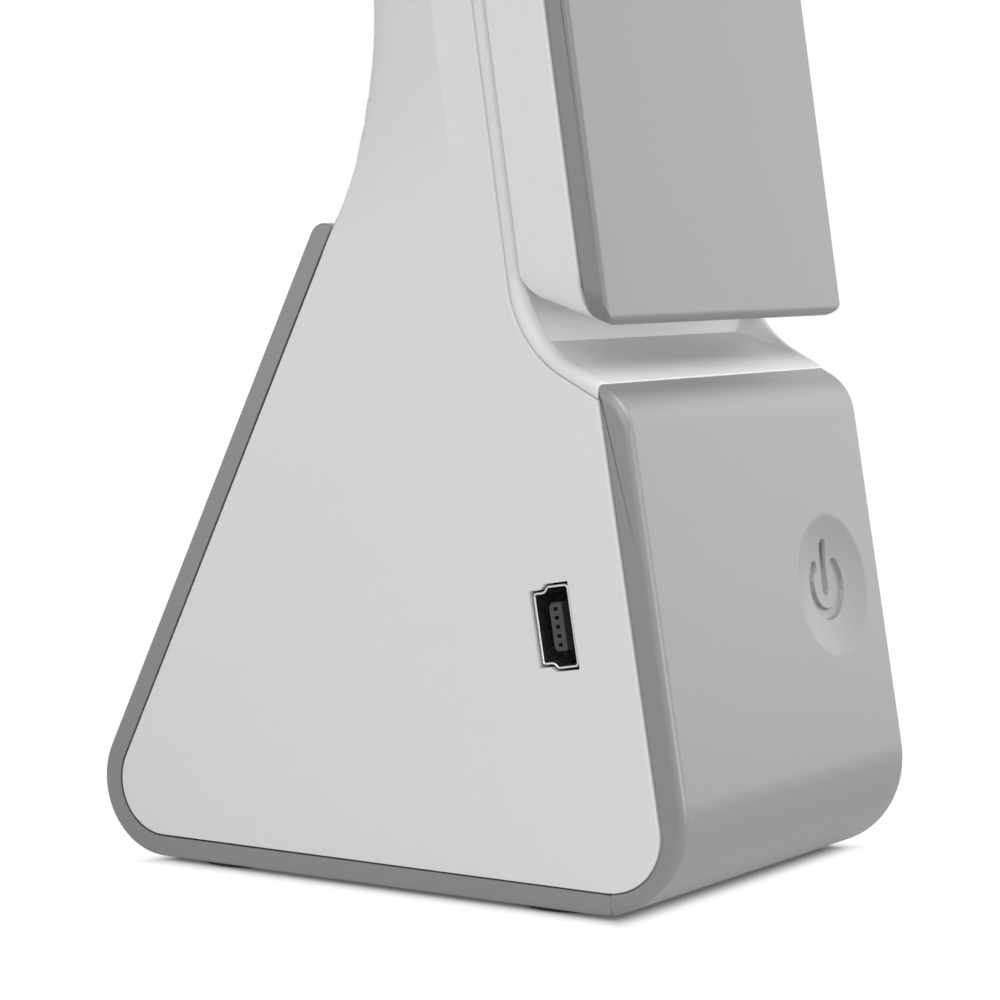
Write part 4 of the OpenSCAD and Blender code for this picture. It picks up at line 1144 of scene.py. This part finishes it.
class LAMP_OT_cover(Operator):
    """Front cover with its dished key"""

    bl_idname = "lamp.front_cover"
    bl_label = "Front cover"

    def execute(self, context):
        form, edges = setting()
        # heights and depths round the space of the bosses behind the face
        room = form.raised([form.front_at(z, d) for z, d in
                            ((44, 1.5), (7.5, 1.5), (4, 4.5), (4, 7.5), (44, 7.5))])
        finished(under_skin("front_cover", cover_skin(form, edges), room),
                 "base", "front_cover", "grey_plastic")
        return {"FINISHED"}


class LAMP_OT_strap(Operator):
    """Grey strap under and behind the base"""

    bl_idname = "lamp.base_strap"
    bl_label = "Base strap"

    def execute(self, context):
        form, edges = setting()
        # round the space of the bosses over the bottom and before the back
        room = form.raised([(-24.6, 1.2), (25.2, 1.2), (30.5, 4.0), form.back_at(11, 1.2),
                            form.back_at(57, 1.2), (-24.6, 9.0)])
        finished(under_skin("base_strap", strap_skin(form, edges), room, 20.6),
                 "base", "base_strap", "grey_plastic")
        return {"FINISHED"}


class LAMP_OT_shell(Operator):
    """White shell of the base and the stem"""

    bl_idname = "lamp.body_shell"
    bl_label = "Body shell"

    def execute(self, context):
        form, edges = setting()
        finished(under_skin("body_shell", shell_skin(form, edges)),
                 "base", "body_shell", "white_plastic")
        return {"FINISHED"}


class LAMP_OT_insert(Operator):
    """White insert: shelf, recessed stem front and the front of the knuckle"""

    bl_idname = "lamp.front_insert"
    bl_label = "Front insert"

    def execute(self, context):
        form, edges = setting()
        finished(joined(insert_skin(form, edges), knuckle_front(form, edges)),
                 "base", "front_insert", "white_plastic")
        return {"FINISHED"}


class LAMP_OT_head(Operator):
    """White tray and grey cover of the light head"""

    bl_idname = "lamp.head"
    bl_label = "Light head"

    def execute(self, context):
        form, edges = setting()
        finished(under_skin("head_tray", head_skin(form, edges, True)),
                 "head", "head_tray", "white_plastic")
        # depths and lengths round the space of the ribs behind the cover
        room = form.raised(form.stem(np.array([-8.0, -0.8, -0.8, -8.0]),
                                     np.array([57.0, 57.0, 200.0, 200.0])))
        # the head cover takes the same grey made darker: painted shade on the grey moulding
        finished(under_skin("head_cover", head_skin(form, edges, False), room, 20.8),
                 "head", "head_cover", "grey_plastic", "head_grey_painted_shade")
        return {"FINISHED"}


# the CAD nodes that stay, by their finish
NODE_LOOKS = {
    "foot_rubber": "foot_pads",
    "steel":
        "strap_screws cover_screws insert_screws board_screws touch_spring "
        "ballast_screws hinge_bracket bracket_screws disc_springs hinge_nuts hinge_pin "
        "hollow_pin head_arms arm_screws led_board_screws head_screws",
    "contact_brass": "usb_contacts",
    "board_green": "main_board",
    "black_plastic": "board_chips",
    "coil_ferrite": "board_coil",
    "capacitor_can": "board_capacitors",
    "connector_nylon": "board_connectors",
    "cell_foil": "battery",
    "pad_foam": "battery_pads",
    "lead_sheath": "battery_leads",
    "ballast_steel": "ballast",
    "cable_sheath": "stem_cable head_cable",
    "bush_brass": "hinge_bushes",
    "washer_fibre": "friction_washers",
    "white_plastic": "hinge_caps",
    "diffuser_plastic": "diffuser",
    "board_white": "reflector led_board",
    "led_yellow": "leds",
}


class LAMP_OT_socket(Operator):
    """Charging socket: drawn steel cup and its tongue"""

    bl_idname = "lamp.socket"
    bl_label = "Charging socket"

    def execute(self, context):
        form, _ = setting()
        finished(socket_steel(form), "base", "usb_shell", "steel")
        finished(socket_tongue(form), "base", "usb_tongue", "black_plastic", "tongue")
        return {"FINISHED"}


class LAMP_OT_inside(Operator):
    """Finishes of the screws, boards, cables, hinge and light parts"""

    bl_idname = "lamp.inside"
    bl_label = "Inner parts"

    def execute(self, context):
        for look, nodes in NODE_LOOKS.items():
            for node in nodes.split():
                coat(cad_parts[node].data, look)
        return {"FINISHED"}


# ---- stage --------------------------------------------------------------------------------
# direction from the target, distance and size in metres, watts, and the target
LIGHTS = {
    "side_light": ((-0.84, -0.3, 0.5), 1.2, 0.9, 5.4, (0, 0, 0.07)),
    "low_light": ((-0.8, 0.45, 0.12), 0.4, 0.3, 0.22, (0, 0.02, 0.02)),
    "top_light": ((0.1, -0.6, 0.9), 1.2, 0.8, 8.7, (0, 0, 0.07)),
    "right_light": ((0.84, -0.54, 0.12), 0.5, 0.5, 0.88, (0, 0, 0.01)),
    "front_light": ((-0.1, -0.7, 0.04), 0.4, 0.16, 0.44, (0, 0, 0)),
}


def area_lamp(name, direction, distance, size, power, target):
    """A square soft light that looks at the target from a direction."""
    data = bpy.data.lights.new(name, "AREA")
    data.shape, data.size, data.energy = "SQUARE", size, power
    lamp = added(name, data)
    way = Vector(direction).normalized()
    lamp.location = Vector(target) + way * distance
    lamp.rotation_mode = "QUATERNION"
    lamp.rotation_quaternion = way.to_track_quat("Z", "Y")


class LAMP_OT_stage(Operator):
    """White floor, soft lights, world and camera"""

    bl_idname = "lamp.stage"
    bl_label = "Stage"

    def execute(self, context):
        scene = context.scene
        scene.view_settings.view_transform = "Standard"
        self.floor()
        self.world(scene)
        for name, values in LIGHTS.items():
            area_lamp(name, *values)
        self.camera(scene)
        return {"FINISHED"}

    def floor(self):
        """A wide white floor that keeps the shadow under the base."""
        half = 3.0
        mesh = bpy.data.meshes.new("floor")
        mesh.from_pydata([(-half, -half, 0), (half, -half, 0), (half, half, 0),
                          (-half, half, 0)], [], [(0, 1, 2, 3)])
        floor = added("floor", mesh)
        look = Finish("floor_white", (0.9, 0.9, 0.9), 0.9, Specular_IOR_Level=0.0)
        seen = look.node("LightPath", output="Is Camera Ray")
        # how far a point lies outside the part of the base that touches the floor
        outside = (abs(look.part("X")) - 0.0218).most(abs(look.part("Y")) - 0.0265)
        # the camera sees the diffuse floor near the base, so its shadow stays, and plain white
        # further out; for all other rays the floor glows white at this share, a painted fill
        # light on the lamp in place of light bounced off the floor
        shadow_start, shadow_end, floor_glow = -0.0012, 0.0026, 0.3
        plain = look.node("Emission", None, {"Color": (1, 1, 1, 1), "Strength": 1.0})
        both = look.node("MixShader", None, {
            "Fac": seen * outside.step(shadow_start, shadow_end) + (1 - seen) * floor_glow,
            1: Value(look.tree, look.shader.outputs[0]), 2: plain})
        look.tree.links.new(both.socket, look.tree.nodes["Material Output"].inputs["Surface"])
        mesh.materials.append(look.material)

    def world(self, scene):
        """White behind the lamp, and an even soft light on it."""
        world = bpy.data.worlds.new("studio")
        scene.world = world
        world.use_nodes = True
        tree = world.node_tree
        path = tree.nodes.new("ShaderNodeLightPath")
        seen, shine, through = (Value(tree, path.outputs[f"Is {ray} Ray"])
                                for ray in ("Camera", "Glossy", "Transmission"))
        light = 0.05
        ground = tree.nodes["Background"]
        ground.inputs["Color"].default_value = (1, 1, 1, 1)
        feed(tree, ground.inputs["Strength"],
             seen.most(shine).most(through) * (1 - light) + light)

    def camera(self, scene):
        """Long lens from the front left, a little above the base."""
        data = bpy.data.cameras.new("camera")
        data.lens, data.sensor_width = 116.96, 36.0
        data.clip_start, data.clip_end = 0.01, 20.0
        camera = added("camera", data)
        right, up = Vector((0.55484, -0.83195, 0.0)), Vector((0.06889, 0.04595, 0.99656))
        view = Matrix((right, up, right.cross(up))).transposed().to_4x4()
        view.translation = (-0.26886, -0.17862, 0.06250)
        camera.matrix_world = view
        scene.camera = camera


class LAMP_PT_panel(Panel):
    """Lists the pieces of the lamp"""

    bl_idname = "LAMP_PT_panel"
    bl_label = "Desk Lamp"
    bl_space_type = "VIEW_3D"
    bl_region_type = "UI"
    bl_category = "Desk Lamp"

    def draw(self, context):
        layout = self.layout
        for step in STEPS:
            layout.operator(step.bl_idname)
        for group in ("lamp_edges", "lamp_colours"):
            settings = getattr(context.scene, group)
            for key in settings.__annotations__:
                layout.prop(settings, key)


GROUPS = {"lamp_sizes": LampSizes, "lamp_edges": LampEdges, "lamp_colours": LampColours}
STEPS = (LAMP_OT_cover, LAMP_OT_strap, LAMP_OT_shell, LAMP_OT_insert, LAMP_OT_head,
         LAMP_OT_socket, LAMP_OT_inside, LAMP_OT_stage)
CLASSES = (*GROUPS.values(), *STEPS, LAMP_PT_panel)


def register():
    """Adds the classes and the scene's settings."""
    for cls in CLASSES:
        bpy.utils.register_class(cls)
    for name, group in GROUPS.items():
        setattr(bpy.types.Scene, name, PointerProperty(type=group))


def unregister():
    """Takes the classes and the settings away."""
    for name in GROUPS:
        delattr(bpy.types.Scene, name)
    for cls in reversed(CLASSES):
        bpy.utils.unregister_class(cls)


def main():
    """Builds every piece and the stage."""
    register()
    for step in STEPS:
        group, name = step.bl_idname.split(".")
        getattr(getattr(bpy.ops, group), name)()


if __name__ == "__main__":
    main()
